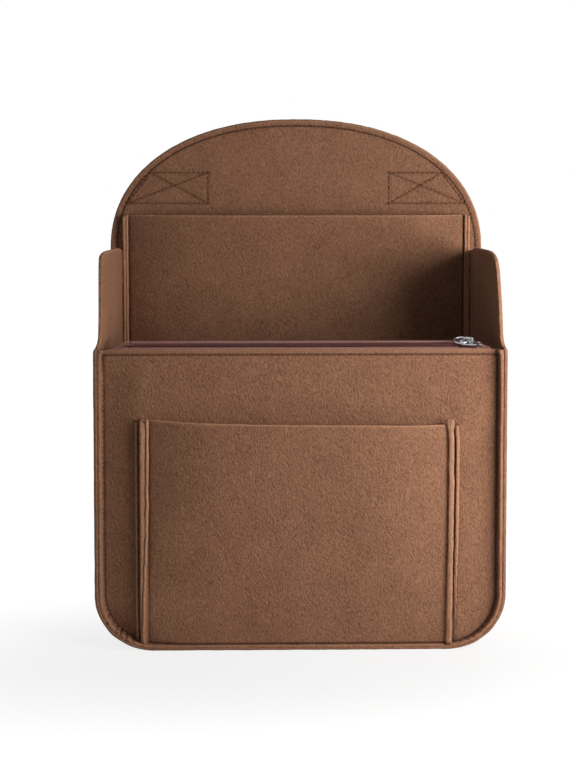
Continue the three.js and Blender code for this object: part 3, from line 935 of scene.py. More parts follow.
class FeltSheet:
    """A felt layer: a grid of points given thickness, relief and rounded cut edges."""

    EDGE_RINGS = 4
    EDGE_SWELL = 0.6
    EDGE_FADE = 0.6 * MM
    # Width of a stitch groove, and how far the painted shade in it spreads.
    GROOVE_WIDTH = 0.9 * MM
    GROOVE_SHADE_SPREAD = 0.55 * MM
    DIMPLE = 0.3
    PRESS_DEPTH = 0.3 * MM
    PRESS_SHADE = 0.33
    PULL_START = 12
    RIPPLE_SHARE = 0.4
    LUMP = Noise(11, 6.5 * MM)
    RIPPLE = Noise(12, 2.6 * MM)
    FRAY = Noise(13, 1.3 * MM)

    def __init__(self, middle: Array, thickness: Array | float = LAYOUT.felt, loop: bool = False) -> None:
        """Takes the middle surface.

        Args:
            middle: rows by columns of points; in a loop the columns close and row 0 is the cut edge.
            thickness: of the layer, the same all over or for each point.
            loop: whether the columns close on themselves.
        """
        self.middle = middle
        self.loop = loop
        self.half = np.broadcast_to(np.asarray(thickness) / 2, middle.shape[:2])
        wrapped = np.concatenate([middle[:, -1:], middle, middle[:, :1]], axis=1) if loop else middle
        along = np.gradient(wrapped, axis=1)[:, 1:-1] if loop else np.gradient(wrapped, axis=1)
        self.normal = unit(np.cross(along, np.gradient(middle, axis=0)))
        # seam holds painted shade for grooves, crevices and the roots of folds.
        self.relief, self.seam = np.zeros((2, *middle.shape[:2])), np.zeros(middle.shape[:2])
        # Painted highlight away from the cut edges, as on the band under the hem.
        self.extra_highlight = np.zeros(middle.shape[:2])
        self.lumpy = 0.13 * MM
        self.round = 0.45 * MM
        self.fray = 0.14 * MM
        # Strength of the painted highlight on the cut edges.
        self.pale = 1.0

    def groove(self, distance: Array, along: Array, depth: float = 0.5 * MM, shade: float = 0.75) -> None:
        """Presses a line of stitches into both faces and paints shade into the groove.

        Args:
            distance: how far each grid point is from the line.
            along: how far along the line it lies.
            depth: of the groove.
            shade: how dark the painted shade in it is.
        """
        well = np.exp(-((distance / self.GROOVE_WIDTH) ** 2))
        dimple = 1 - self.DIMPLE + self.DIMPLE * np.cos(math.tau * along / STITCH.pitch)
        self.relief -= depth * well * dimple
        self.paint_shade(distance, shade, self.GROOVE_SHADE_SPREAD)

    def paint_shade(self, distance: Array, shade: float, width: float) -> None:
        """Paints shade on both faces beside a line.

        Args:
            distance: how far each grid point is from the line.
            shade: how dark the line itself is.
            width: how far the shade spreads.
        """
        self.seam = np.maximum(self.seam, shade * np.exp(-((distance / width) ** 2)))

    def along(self, line: Array) -> tuple[Array, Array]:
        """Where the grid lies beside a straight line that is seen from the front.

        Args:
            line: the X and Z of its two ends.

        Returns:
            The distance from the line and the share of its length, for each grid point.
        """
        flat = self.middle[..., [0, 2]] - line[0]
        run = line[1] - line[0]
        share = np.clip(flat @ run / (run @ run), 0, 1)
        return np.linalg.norm(flat - share[..., None] * run, axis=-1), share

    def press(self, lines: Iterable[Array]) -> None:
        """Presses straight stitched lines into both faces, with painted shade along them.

        Args:
            lines: the X and Z of the ends of each.
        """
        for line in lines:
            distance, share = self.along(line)
            self.groove(distance, share * np.linalg.norm(line[1] - line[0]), self.PRESS_DEPTH, 0.0)
            self.paint_shade(distance, self.PRESS_SHADE, self.GROOVE_WIDTH)

    def crease(self, line: Array, depth: float, width: float) -> None:
        """Draws a pull in the felt that fades along a line.

        Args:
            line: the X and Z of its two ends.
            depth: of the pull at its start.
            width: of the pull.
        """
        distance, share = self.along(line)
        pull = depth * np.exp(-((distance / width) ** 2)) * (1 - share) * smooth(share * self.PULL_START)
        self.relief += np.stack([-pull, pull])

    def faces(self) -> list[Array]:
        """The two faces, with relief and lumps."""
        result = []
        for sign, relief in zip((1, -1), self.relief):
            place = self.middle + sign * 2 * self.half[..., None] * self.normal
            lift = relief + self.lumpy * (self.LUMP(place) + self.RIPPLE_SHARE * self.RIPPLE(place))
            result.append(self.middle + sign * self.normal * (self.half + lift)[..., None])
        return result

    def rim(self) -> list[tuple[int, int]]:
        """Grid places round the cut edge, in order."""
        rows, columns = self.middle.shape[:2]
        if self.loop:
            return [(0, column) for column in range(columns)]
        places = [(0, c) for c in range(columns)] + [(r, columns - 1) for r in range(1, rows)]
        places += [(rows - 1, c) for c in range(columns - 2, -1, -1)]
        return places + [(r, 0) for r in range(rows - 2, 0, -1)]

    def build(self, name: str, finish: Finish = FELT) -> bpy.types.Object:
        """Makes the object.

        Args:
            name: the piece's name.
            finish: what it is made of.

        Returns:
            The object, with its edge values for the painted highlight and its seam values for the painted
            shade.
        """
        rows, columns = self.middle.shape[:2]
        count = rows * columns
        front, rear = self.faces()
        at = tuple(np.array(self.rim()).T)
        around = len(at[0])
        rings = self._edge_rings(front, rear, at)
        points = np.concatenate([front.reshape(-1, 3), rear.reshape(-1, 3), *rings])
        faces = self._grid_faces(rows, columns, count)
        index = at[0] * columns + at[1]
        between = [2 * count + i * around + np.arange(around) for i in range(len(rings))]
        belts = [index, *between, index + count]
        for lower, upper in zip(belts, belts[1:]):
            faces += np.stack([lower, upper, np.roll(upper, -1), np.roll(lower, -1)], axis=1).tolist()
        if self.loop:
            points = np.concatenate([points, front[-1].mean(0)[None], rear[-1].mean(0)[None]])
            last = (rows - 1) * columns + np.arange(columns)
            tip = len(points) - 2
            for a, b in zip(last.tolist(), np.roll(last, -1).tolist()):
                faces += [(a, b, tip), (b + count, a + count, tip + 1)]
        piece = new_object(name, points, faces, finish)
        # Painted highlight near the cut edges and painted shade from the seam values, for the material to
        # read.
        edge = self.pale * np.maximum(np.exp(-self._edge_distance() / self.EDGE_FADE), self.extra_highlight).ravel()
        hub = [0.0, 0.0] if self.loop else []
        paint(piece, "edge", np.concatenate([edge, edge, np.full(around * len(rings), self.pale), hub]))
        seam = np.tile(self.seam[at], len(rings))
        paint(piece, "seam", np.concatenate([self.seam.ravel(), self.seam.ravel(), seam, hub]))
        return piece

    def _edge_rings(self, front: Array, rear: Array, at: tuple[Array, Array]) -> list[Array]:
        """Draws the cut edge in, a little ragged, and rounds it.

        Args:
            front, rear: the two faces, whose outermost points are moved.
            at: the grid places round the cut edge.

        Returns:
            The rings of points between the two faces.
        """
        rows, columns = self.middle.shape[:2]
        inner = (np.clip(at[0], 1, rows - 2), at[1] if self.loop else np.clip(at[1], 1, columns - 2))
        outward = self.middle[at] - self.middle[inner]
        normal = self.normal[at]
        outward = unit(outward - normal * np.einsum("ij,ij->i", outward, normal)[:, None])
        ragged = outward * (self.fray * self.FRAY(self.middle[at]))[:, None]
        for face in (front, rear):
            face[at] += ragged - outward * self.round
        rings = []
        for share in np.arange(1, self.EDGE_RINGS) / self.EDGE_RINGS:
            swell = math.sin(math.pi * share) ** self.EDGE_SWELL
            rings.append(lerp(front[at], rear[at], share) + outward * self.round * swell)
        return rings

    def _grid_faces(self, rows: int, columns: int, count: int) -> list:
        """Quads of the two faces, turned opposite ways."""
        grid = np.arange(count).reshape(rows, columns)
        if self.loop:
            grid = np.concatenate([grid, grid[:, :1]], axis=1)
        corners = [grid[:-1, :-1], grid[:-1, 1:], grid[1:, 1:], grid[1:, :-1]]
        quads = np.stack([corner.ravel() for corner in corners], axis=1)
        return quads.tolist() + (quads[:, ::-1] + count).tolist()

    def _edge_distance(self) -> Array:
        """How far each grid point is from the cut edge."""
        down = lengths(self.middle, 0)
        if self.loop:
            return down
        across = lengths(self.middle, 1)
        near = [down, down[-1:] - down, across, across[:, -1:] - across]
        return np.minimum.reduce(near)


WAIST_SHARE = 0.64
HUB_SHARE = 0.03


def disc(outline: Callable[[float], Array], depth: float, insets: Array, centre: tuple) -> Array:
    """A flat grid of rings from an outline in to its centre.

    Args:
        outline: gives the closed outline at an inset, as X and Z.
        depth: Y of the grid.
        insets: insets of the outer rings; the inner ones shrink towards the centre.
        centre: X and Z of the centre.

    Returns:
        Rings by points.
    """
    rings = [outline(inset) for inset in insets]
    shares = [*np.linspace(1, WAIST_SHARE, 32)[1:], *np.linspace(WAIST_SHARE, HUB_SHARE, 16)[1:]]
    rings += [lerp(np.array(centre), rings[-1], share) for share in shares]
    flat = np.stack(rings)
    return spots(flat[..., 0], depth, flat[..., 1])


# Geometry trees for what repeats


class Repeats:
    """Geometry Nodes trees for stitches and the zip's coil, each built once."""

    SWAY = 0.12
    BEAD = {"Segments": 8, "Rings": 6, "Radius": 0.5}
    LOOP = {"Resolution": 14, "Radius": 0.5}
    WIRE_SIDES = 6

    @staticmethod
    def _tree(name: str, inputs: dict[str, str]) -> tuple[Graph, dict, bpy.types.NodeSocket]:
        """Starts a geometry tree with a geometry input and output.

        Args:
            name: the tree's name.
            inputs: kind of socket by input name.

        Returns:
            The graph, its input sockets by name and its output socket.
        """
        tree = bpy.data.node_groups.new(name, "GeometryNodeTree")
        tree.interface.new_socket("Geometry", in_out="INPUT", socket_type="NodeSocketGeometry")
        for label, kind in inputs.items():
            tree.interface.new_socket(label, in_out="INPUT", socket_type=f"NodeSocket{kind}")
        tree.interface.new_socket("Geometry", in_out="OUTPUT", socket_type="NodeSocketGeometry")
        graph = Graph(tree)
        start = graph.add("NodeGroupInput")
        end = graph.add("NodeGroupOutput")
        return graph, dict(start.outputs.items()), end.inputs["Geometry"]

    @staticmethod
    def _finish(graph: Graph, laid: dict, material: object, result: object) -> bpy.types.NodeTree:
        """Lays the instances, realizes and dresses them and closes the tree."""
        rows = graph.out("GeometryNodeInstanceOnPoints", laid)
        real = graph.out("GeometryNodeRealizeInstances", {"Geometry": rows})
        sleek = graph.out("GeometryNodeSetShadeSmooth", {"Geometry": real})
        graph.feed(result, graph.out("GeometryNodeSetMaterial", {"Geometry": sleek, "Material": material}))
        return graph.tree

    @classmethod
    @cache
    def stitches(cls) -> bpy.types.NodeTree:
        """Stitches laid along the edges of a line, each a small spindle."""
        inputs = dict.fromkeys(("Pitch", "Length", "Width"), "Float")
        graph, given, result = cls._tree("stitch_row", {**inputs, "Seed": "Int", "Material": "Material"})
        curve = graph.out("GeometryNodeMeshToCurve", {"Mesh": given["Geometry"]})
        spacing = {"Curve": curve, "Length": given["Pitch"]}
        spaced = graph.out("GeometryNodeResampleCurve", spacing, mode="LENGTH")
        bead = graph.out("GeometryNodeMeshUVSphere", cls.BEAD)
        tangent = graph.out("GeometryNodeInputTangent")
        drawn = {"Min": (-cls.SWAY,) * 3, "Max": (cls.SWAY,) * 3, "Seed": given["Seed"]}
        sway = graph.out("FunctionNodeRandomValue", drawn, data_type="FLOAT_VECTOR")
        aim = {"Vector": graph.vector("ADD", tangent, sway)}
        turn = graph.out("FunctionNodeAlignRotationToVector", aim, axis="X")
        axes = {0: given["Length"], 1: given["Width"], 2: given["Width"]}
        size = graph.out("ShaderNodeCombineXYZ", axes)
        laid = {"Points": spaced, "Instance": bead, "Rotation": turn, "Scale": size}
        return cls._finish(graph, laid, given["Material"], result)

    @classmethod
    @cache
    def coil(cls) -> bpy.types.NodeTree:
        """A row of coil turns along X, each a slanted loop of nylon."""
        inputs = dict.fromkeys(("Pitch", "Width", "Height", "Wire", "Slant"), "Float")
        graph, given, result = cls._tree("coil_row", {"Turns": "Int", **inputs, "Material": "Material"})
        step = graph.out("ShaderNodeCombineXYZ", {0: given["Pitch"]})
        line = graph.out("GeometryNodeMeshLine", {"Count": given["Turns"], "Offset": step})
        loop = graph.out("GeometryNodeCurvePrimitiveCircle", cls.LOOP)
        size = graph.out("ShaderNodeCombineXYZ", {0: given["Height"], 1: given["Width"], 2: 1.0})
        turn = graph.out("FunctionNodeInputVector", vector=(0, QUARTER, 0))
        sized = graph.out("GeometryNodeTransform", {"Geometry": loop, "Scale": size})
        upright = graph.out("GeometryNodeTransform", {"Geometry": sized, "Rotation": turn})
        round_wire = {"Resolution": cls.WIRE_SIDES, "Radius": given["Wire"]}
        section = graph.out("GeometryNodeCurvePrimitiveCircle", round_wire)
        tube = graph.out("GeometryNodeCurveToMesh", {"Curve": upright, "Profile Curve": section})
        slant = graph.out("ShaderNodeCombineXYZ", {2: given["Slant"]})
        laid = {"Points": line, "Instance": tube, "Rotation": slant}
        return cls._finish(graph, laid, given["Material"], result)

    @staticmethod
    def run(name: str, lines: list[Array], tree: bpy.types.NodeTree, values: dict) -> bpy.types.Object:
        """Runs a tree on lines of points and keeps the result as a plain mesh.

        Args:
            name: the piece's name.
            lines: arrays of points; the tree may ignore them.
            tree: the geometry tree.
            values: the tree's inputs by name.

        Returns:
            The finished object.
        """
        vertices: list[list[float]] = []
        edges: list[tuple[int, int]] = []
        for line in lines:
            first = len(vertices)
            vertices += line.tolist()
            edges += [(first + i, first + i + 1) for i in range(len(line) - 1)]
        mesh = bpy.data.meshes.new(name + "_lines")
        mesh.from_pydata(vertices, edges, [])
        carrier = in_scene(name, mesh)
        modifier = carrier.modifiers.new("rows", "NODES")
        modifier.node_group = tree
        for item in tree.interface.items_tree:
            if item.in_out == "INPUT" and item.name in values:
                modifier[item.identifier] = values[item.name]
        bake(carrier)
        carrier.data.name = name
        return carrier


class Assembly:
    """A part of the insert that hands its pieces to the frame."""

    body = BODY

    def hand_over(self, piece: bpy.types.Object, finish: Finish, *nodes: str) -> None:
        """Lets a piece ride and stand for its nodes.

        Args:
            piece: the finished piece.
            finish: its finish, which names the slot; not used.
            nodes: the CAD nodes that it stands for.
        """
        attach(piece, self.body)
        if nodes:
            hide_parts(*nodes)
        LOG.info("%s: %d faces on %s", piece.name, len(piece.data.polygons), self.body)

    def sew(self, name: str, lines: list[Array], *nodes: str) -> None:
        """Sews stitches along lines.

        Args:
            name: the piece's name.
            lines: arrays of points.
            nodes: the CAD threads that the stitches stand for.
        """
        values = {
            "Pitch": STITCH.pitch,
            "Length": STITCH.length,
            "Width": STITCH.width,
            "Seed": STITCH.seed,
            "Material": THREAD.material(),
        }
        self.hand_over(Repeats.run(name, lines, Repeats.stitches(), values), THREAD, *nodes)


# The felt box


@dataclass
class FrontWall(Assembly):
    """The front wall, its forward rim and the two pinched ridges."""

    step: float = 2.2 * MM
    hem_drop: float = 3.3 * MM
    sink: float = 0.15 * MM
    band_bulge: float = 0.4 * MM
    # Painted highlight on the band under the hem: its strength, then where it starts and how far it grows.
    band_highlight: float = 0.2
    band_edge: tuple[float, float] = (0.4 * MM, 0.5 * MM)
    stitch_share: float = 0.3
    thread_lift: float = 0.05 * MM
    rim_step: float = 0.9 * MM
    rim_turn: tuple[float, float] = (0.2, 1.4)
    gather: tuple[float, float] = (1.5 * MM, 0.4 * MM)
    gather_pitch: float = 0.68 * MM
    gather_forward: float = 0.6
    gather_fade: float = 1.5
    waver: float = 0.12 * MM
    waver_run: float = 6 * MM
    knuckle: float = 1.5 * MM
    knuckle_run: float = 2 * MM
    ridge_height: float = 5.5 * MM
    ridge_step: float = 0.8 * MM
    ridge_over: float = 0.4 * MM
    ridge_room: float = 0.03 * MM
    ridge_least: float = 0.9 * MM
    ridge_root: float = 0.6
    ridge_seam: float = 0.35
    ridge_sink: float = 0.1 * MM
    crown: float = 0.25
    crown_run: float = 2.4 * MM
    wander: float = 0.2 * MM
    wander_run: float = 9 * MM
    layers: tuple = (
        (
            RidgeLayer(0.0, 99.6 * MM, 0.5 * MM, 0.5 * MM),
            RidgeLayer(101.2 * MM, 102.7 * MM, 3.6 * MM, 3.3 * MM),
        ),
        (RidgeLayer(96.5 * MM, 98.6 * MM, 4.6 * MM, 1.3 * MM, 0.7),),
    )
    pulls: tuple = (
        (((-2, 2), (10, 22), 0.25), ((-4, 2), (-14, 20), 0.2)),
        (((0, 3), (14, 30), 0.7), ((1, 3), (21, 22), 0.4), ((-2, 4), (5, 27), 0.3)),
    )

    def panel(self) -> None:
        """Builds the flat wall with its hem stitch."""
        outline = LAYOUT.front_outline
        top = LAYOUT.front_top
        hem = top - self.hem_drop
        heights = graded(outline.bottom, top, self.step, fine=0.75 * MM, hot=[hem], reach=2 * MM)
        share = graded(-1, 1, coarse=0.018, fine=0.008, hot=[-1, 1], reach=0.08)
        z, s = np.meshgrid(heights, share, indexing="ij")
        x = s * outline.half_at(z)
        y = LAYOUT.front_face + LAYOUT.felt / 2 - LAYOUT.billow(x, z)
        sheet = FeltSheet(spots(x, y, z))
        # Painted shade in the hem's stitch groove.
        sheet.groove(z - hem, x)
        band = np.clip((z - hem) / (top - hem), 0, 1)
        sheet.relief[0] += self.band_bulge * np.sqrt(1 - (2 * band - 1) ** 2)
        # Painted highlight on the raised band under the hem, where it catches light.
        start, run = self.band_edge
        sheet.extra_highlight = self.band_highlight * smooth((z - hem - start) / run)
        # A weaker painted highlight on this wall's cut edges.
        sheet.pale = 0.7
        # Painted shade along the wall's outline, in the crevice where it turns into the rim.
        sheet.paint_shade(np.maximum(outline.half_at(z) - np.abs(x), 0), shade=0.85, width=1.1 * MM)
        for side, pulls in zip(Side, self.pulls):
            for start, end, depth in pulls:
                line = np.array([self._from_ridge(side, start), self._from_ridge(side, end)])
                sheet.crease(line, depth * MM, width=1.3 * MM)
        piece = sheet.build("front_wall")
        self.hand_over(piece, FELT)
        self.sew("hem_stitches", [self._line(hem)], "front_hem_stitching")

    def _line(self, height: float) -> Array:
        """The hem stitch from side to side, sunk half its width into the felt."""
        half = LAYOUT.front_outline.half - LAYOUT.felt
        x = np.linspace(-half, half, 120)
        return spots(x, LAYOUT.front_face - self.thread_lift, height)

    def _from_ridge(self, side: Side, offset: tuple[float, float]) -> tuple[float, float]:
        """A place given in millimetres inward and up from the top of a ridge."""
        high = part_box("front_pocket")[1]
        return side.value * (high.x - offset[0] * MM), high.z + offset[1] * MM

    def rim(self) -> None:
        """Builds the rim of the wall's margin, flatter at the bottom and gathered at the corners."""
        outline = LAYOUT.front_outline
        arm = LAYOUT.front_top - outline.bottom - outline.radius
        path = UPath.spaced(arm, self.rim_step, outline.radius, outline.half - outline.radius)
        lean, reach, thick = LAYOUT.rim_shape(path)
        face, felt = LAYOUT.front_face, LAYOUT.felt
        level = 0 * lean
        turned = [level - share * felt for share in self.rim_turn]
        out = np.stack([lean + thick / 2, level + thick / 2, *turned])
        root = face + self.sink
        depth = np.stack([face - reach, level + root, level + root + felt / 2, level + root + felt / 2])
        share = np.concatenate([np.linspace(0, 1, 7), np.linspace(1, 3, 7)[1:]])
        columns = np.stack([between(knots, share) for knots in (out, depth)], axis=-1)
        columns = relaxed(columns, passes=2)
        below = (1 - path.share[:, None]) * arm
        knuckle = self.knuckle * np.exp(-((below / self.knuckle_run) ** 2)) * np.clip(2 - share, 0, 1)
        columns[..., 0] -= knuckle / 2
        run = lengths(path.points(outline, np.zeros(1), np.zeros(1), LAYOUT.front_top), 0)
        gathers = self._gathers(path, run) * np.linspace(1, 0, len(share)) ** self.gather_fade
        pushed = columns + gathers[..., None] * np.array([1, self.gather_forward])
        middle = path.points(outline, pushed[..., 0], pushed[..., 1], LAYOUT.front_top)
        inward = np.clip((columns[..., 1] - columns[:, :1, 1]) / reach[:, None], 0, 1)
        middle[..., 1] -= inward * LAYOUT.billow(middle[..., 0], middle[..., 2])
        sheet = FeltSheet(middle, lerp(thick[:, None], felt, np.clip(inward - 0.5, 0, 1)) + knuckle)
        # A weaker painted highlight on the rim's cut edge.
        sheet.round, sheet.pale = 0.25 * MM, 0.35
        across = lengths(middle, 1)
        inside = across - (1 - self.stitch_share) * reach[:, None]
        # Painted shade in the stitch groove on the rim.
        sheet.groove(inside, np.broadcast_to(run, across.shape), depth=0.25 * MM)
        # Painted shade at the rim's root, in the crevice beside the wall.
        sheet.paint_shade(np.clip(across[:, 6:7] - across, 0, None), shade=0.85, width=1.1 * MM)
        self.hand_over(sheet.build("front_rim"), FELT, "front_panel")
        stitch_out = (self.stitch_share * lean - self.thread_lift)[:, None]
        forward = (face - self.stitch_share * reach)[:, None]
        line = path.points(outline, stitch_out, forward, LAYOUT.front_top)[:, 0]
        line[:, 1] -= (1 - self.stitch_share) * LAYOUT.billow(line[:, 0], line[:, 2])
        self.sew("rim_stitches_inner", [line], "front_seam_inner_stitching")

    def _gathers(self, path: UPath, run: Array) -> Array:
        """Zigzag gathers in the corners, where the felt is eased round, and a faint waver all along.

        Args:
            path: the stations of the rim.
            run: the distance along it.

        Returns:
            How far each station is pushed out of line.
        """
        turning = np.sin(path.angle * 2)[:, None] ** 2
        side = path.side[:, None]
        uneven = Noise(32, self.waver_run)(spots(run, side, 0))
        depth = np.where(side < 0, *self.gather)
        zigzag = (0.6 + uneven) * np.sin(run / self.gather_pitch + 2 * uneven)
        return depth * turning * zigzag + self.waver * uneven

    def ridges(self) -> None:
        """Builds the folds of the wall that stand forward beside the flat pocket."""
        for side, layers in zip(Side, self.layers):
            for number, layer in enumerate(layers, 1):
                self._ridge_layer(side, number, layer)

    def _ridge_layer(self, side: Side, number: int, layer: RidgeLayer) -> None:
        """One layer of a ridge; the outermost shows the stitches.

        Args:
            side: which ridge.
            number: 1 for the layer next to the pocket.
            layer: its shape.
        """
        fold = side.pick(FRONT_FOLDS)
        bottom = LAYOUT.front_outline.bottom + LAYOUT.felt / 2
        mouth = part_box("front_pocket")[1].z + LAYOUT.pocket_rise + fold.lift
        top = mouth + self.ridge_over - layer.drop_high / 2
        z, share = np.meshgrid(np.arange(bottom, top, self.ridge_step), np.linspace(0, 1, 11), indexing="ij")
        rise = (z - bottom) / (z[-1, 0] - bottom)
        lean = fold.lean(side, rise) * share
        outer = layer.outer - layer.follow * lean
        inner = np.maximum(layer.inner - layer.follow * lean, fold.outside - lean + self.ridge_room)
        thickness = np.maximum(outer - inner, self.ridge_least)
        x = side.value * (outer - thickness / 2)
        face = LAYOUT.front_face - LAYOUT.billow(x, z)
        drop = lerp(layer.drop_low, layer.drop_high, smooth(rise))
        wander = Noise(30 + number, self.wander_run)(spots(z, side.value, 0))
        crown = smooth((z[-1] - z) / self.crown_run) ** 0.5
        root, tip = face + self.ridge_root * LAYOUT.felt, face - self.ridge_height + drop
        y = lerp(root, tip, share * (1 - self.crown + self.crown * crown)) + self.wander * wander * share
        middle = spots(x, y, z)
        sheet = FeltSheet(middle, thickness)
        sheet.round = 0.3 * MM
        seam = (face - tip) * self.ridge_seam
        # Painted shade in the stitch groove and at the ridge's root against the wall.
        sheet.groove(y - (face - seam), z, depth=0.15 * MM, shade=0.5)
        sheet.paint_shade(np.maximum(face - y, 0), shade=0.8, width=0.9 * MM)
        self.hand_over(sheet.build(f"pocket_ridge_{side.word}_{number}"), FELT)
        if layer is side.pick(self.layers)[-1]:
            column = np.argmin(np.abs(y - (face - seam))[len(y) // 2])
            outward = spots(side.value * (thickness / 2 - self.ridge_sink), 0, 0)
            line = (middle + outward)[3:, column]
            self.sew(f"ridge_stitches_{side.word}", [line], f"front_pocket_stitching_{side.word}")

    def build(self) -> None:
        """Builds the whole front wall."""
        self.panel()
        self.rim()
        self.ridges()


@dataclass
class PinchedPocket(Assembly):
    """A pocket wall whose side margins turn away from the wall behind it."""

    node: str
    name: str
    margin: float
    wall: float
    folds: tuple[Fold, Fold]
    foot: float
    rise: float = 0.0
    billow: bool = False
    step: float = 2.2 * MM
    seam_share: float = 0.6
    bulb_drop: float = 1.5 * MM
    bulb_run: float = 2.4 * MM
    margin_blend: float = 2.5 * MM

    def build(self) -> None:
        """Builds the wall with rounded folds at both sides."""
        low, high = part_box(self.node)
        room = self.wall - LAYOUT.gap - LAYOUT.felt - low.y
        top = high.z + self.rise
        heights = graded(self.foot, top, self.step, fine=0.8 * MM, hot=[top], reach=1.5 * MM)
        ends = [side.value * fold.middle for side, fold in zip(Side, self.folds)]
        web = graded(*ends, self.step, fine=0.7 * MM, hot=ends, reach=3 * MM)
        rise = (heights - self.foot) / (top - self.foot)
        rows = [self._row(web, share, z, room) for share, z in zip(rise, heights)]
        middle = relaxed(np.stack(rows), passes=3)
        run = lengths(middle, 1)
        from_tip = np.minimum(run, run[:, -1:] - run)
        sheet = FeltSheet(middle, self._thickness(middle, from_tip, rise))
        sheet.round = 0.35 * MM
        # Painted shade in the stitch grooves and where each margin turns back.
        for along in (run, run[:, -1:] - run):
            sheet.groove(along - self.seam_share * self.margin, middle[..., 2], depth=0.25 * MM, shade=0.5)
            sheet.paint_shade(along - self.margin, shade=0.75, width=0.7 * MM)
        # Painted shade along the foot of the billowing pocket.
        if self.billow:
            sheet.paint_shade(middle[..., 2] - self.foot, shade=0.8, width=1 * MM)
        self.hand_over(sheet.build(self.name), FELT, self.node)

    def _row(self, web: Array, share: float, z: float, room: float) -> Array:
        """One row of the wall, from the tip of its left margin to the tip of its right one.

        Args:
            web: X of the points between the folds.
            share: of the pocket's height.
            z: height of the row.
            room: how far the mouth stands open.

        Returns:
            The row's points.
        """
        left, right = self.folds
        forward = LAYOUT.billow(web, z) if self.billow else 0 * web
        spread = np.where(web < 0, -web / left.middle, web / right.middle)
        lift = (room - forward) * math.sin(share * QUARTER) * (1 - spread**4)
        y = self.wall - LAYOUT.gap - LAYOUT.felt / 2 - forward - lift
        raised = np.where(web < 0, left.lift, right.lift)
        margins = []
        tipped = np.linspace(1, 0, 9)[:-1]
        for side, fold, end in zip(Side, self.folds, (0, -1)):
            across = side.value * (fold.middle - fold.lean(side, share) * tipped)
            depth = lerp(y[end], self.wall - forward[end] - self.margin, tipped)
            up = z + share**2 * fold.lift + share**6 * fold.tip_lift * tipped
            margins.append(spots(across, depth, up))
        between_folds = spots(web, y, z + share**2 * raised * spread**1.5)
        return np.concatenate([margins[0], between_folds, margins[1][::-1]])

    def _thickness(self, middle: Array, from_tip: Array, rise: Array) -> Array:
        """The felt's thickness, squeezed in the margins and gathered to a bulb at their tops."""
        left, right = self.folds
        squeezed = np.where(middle[..., 0] < 0, left.thickness, right.thickness)
        bulb = np.where(middle[..., 0] < 0, left.bulb, right.bulb)
        below = (1 - rise) * (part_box(self.node)[1].z - self.foot)
        top = np.exp(-(((below - self.bulb_drop) / self.bulb_run) ** 2))
        inner = smooth((from_tip - self.margin) / self.margin_blend)
        squeezed = squeezed * (1 + bulb * top[:, None] * (1 - inner))
        return lerp(squeezed, LAYOUT.felt, inner)


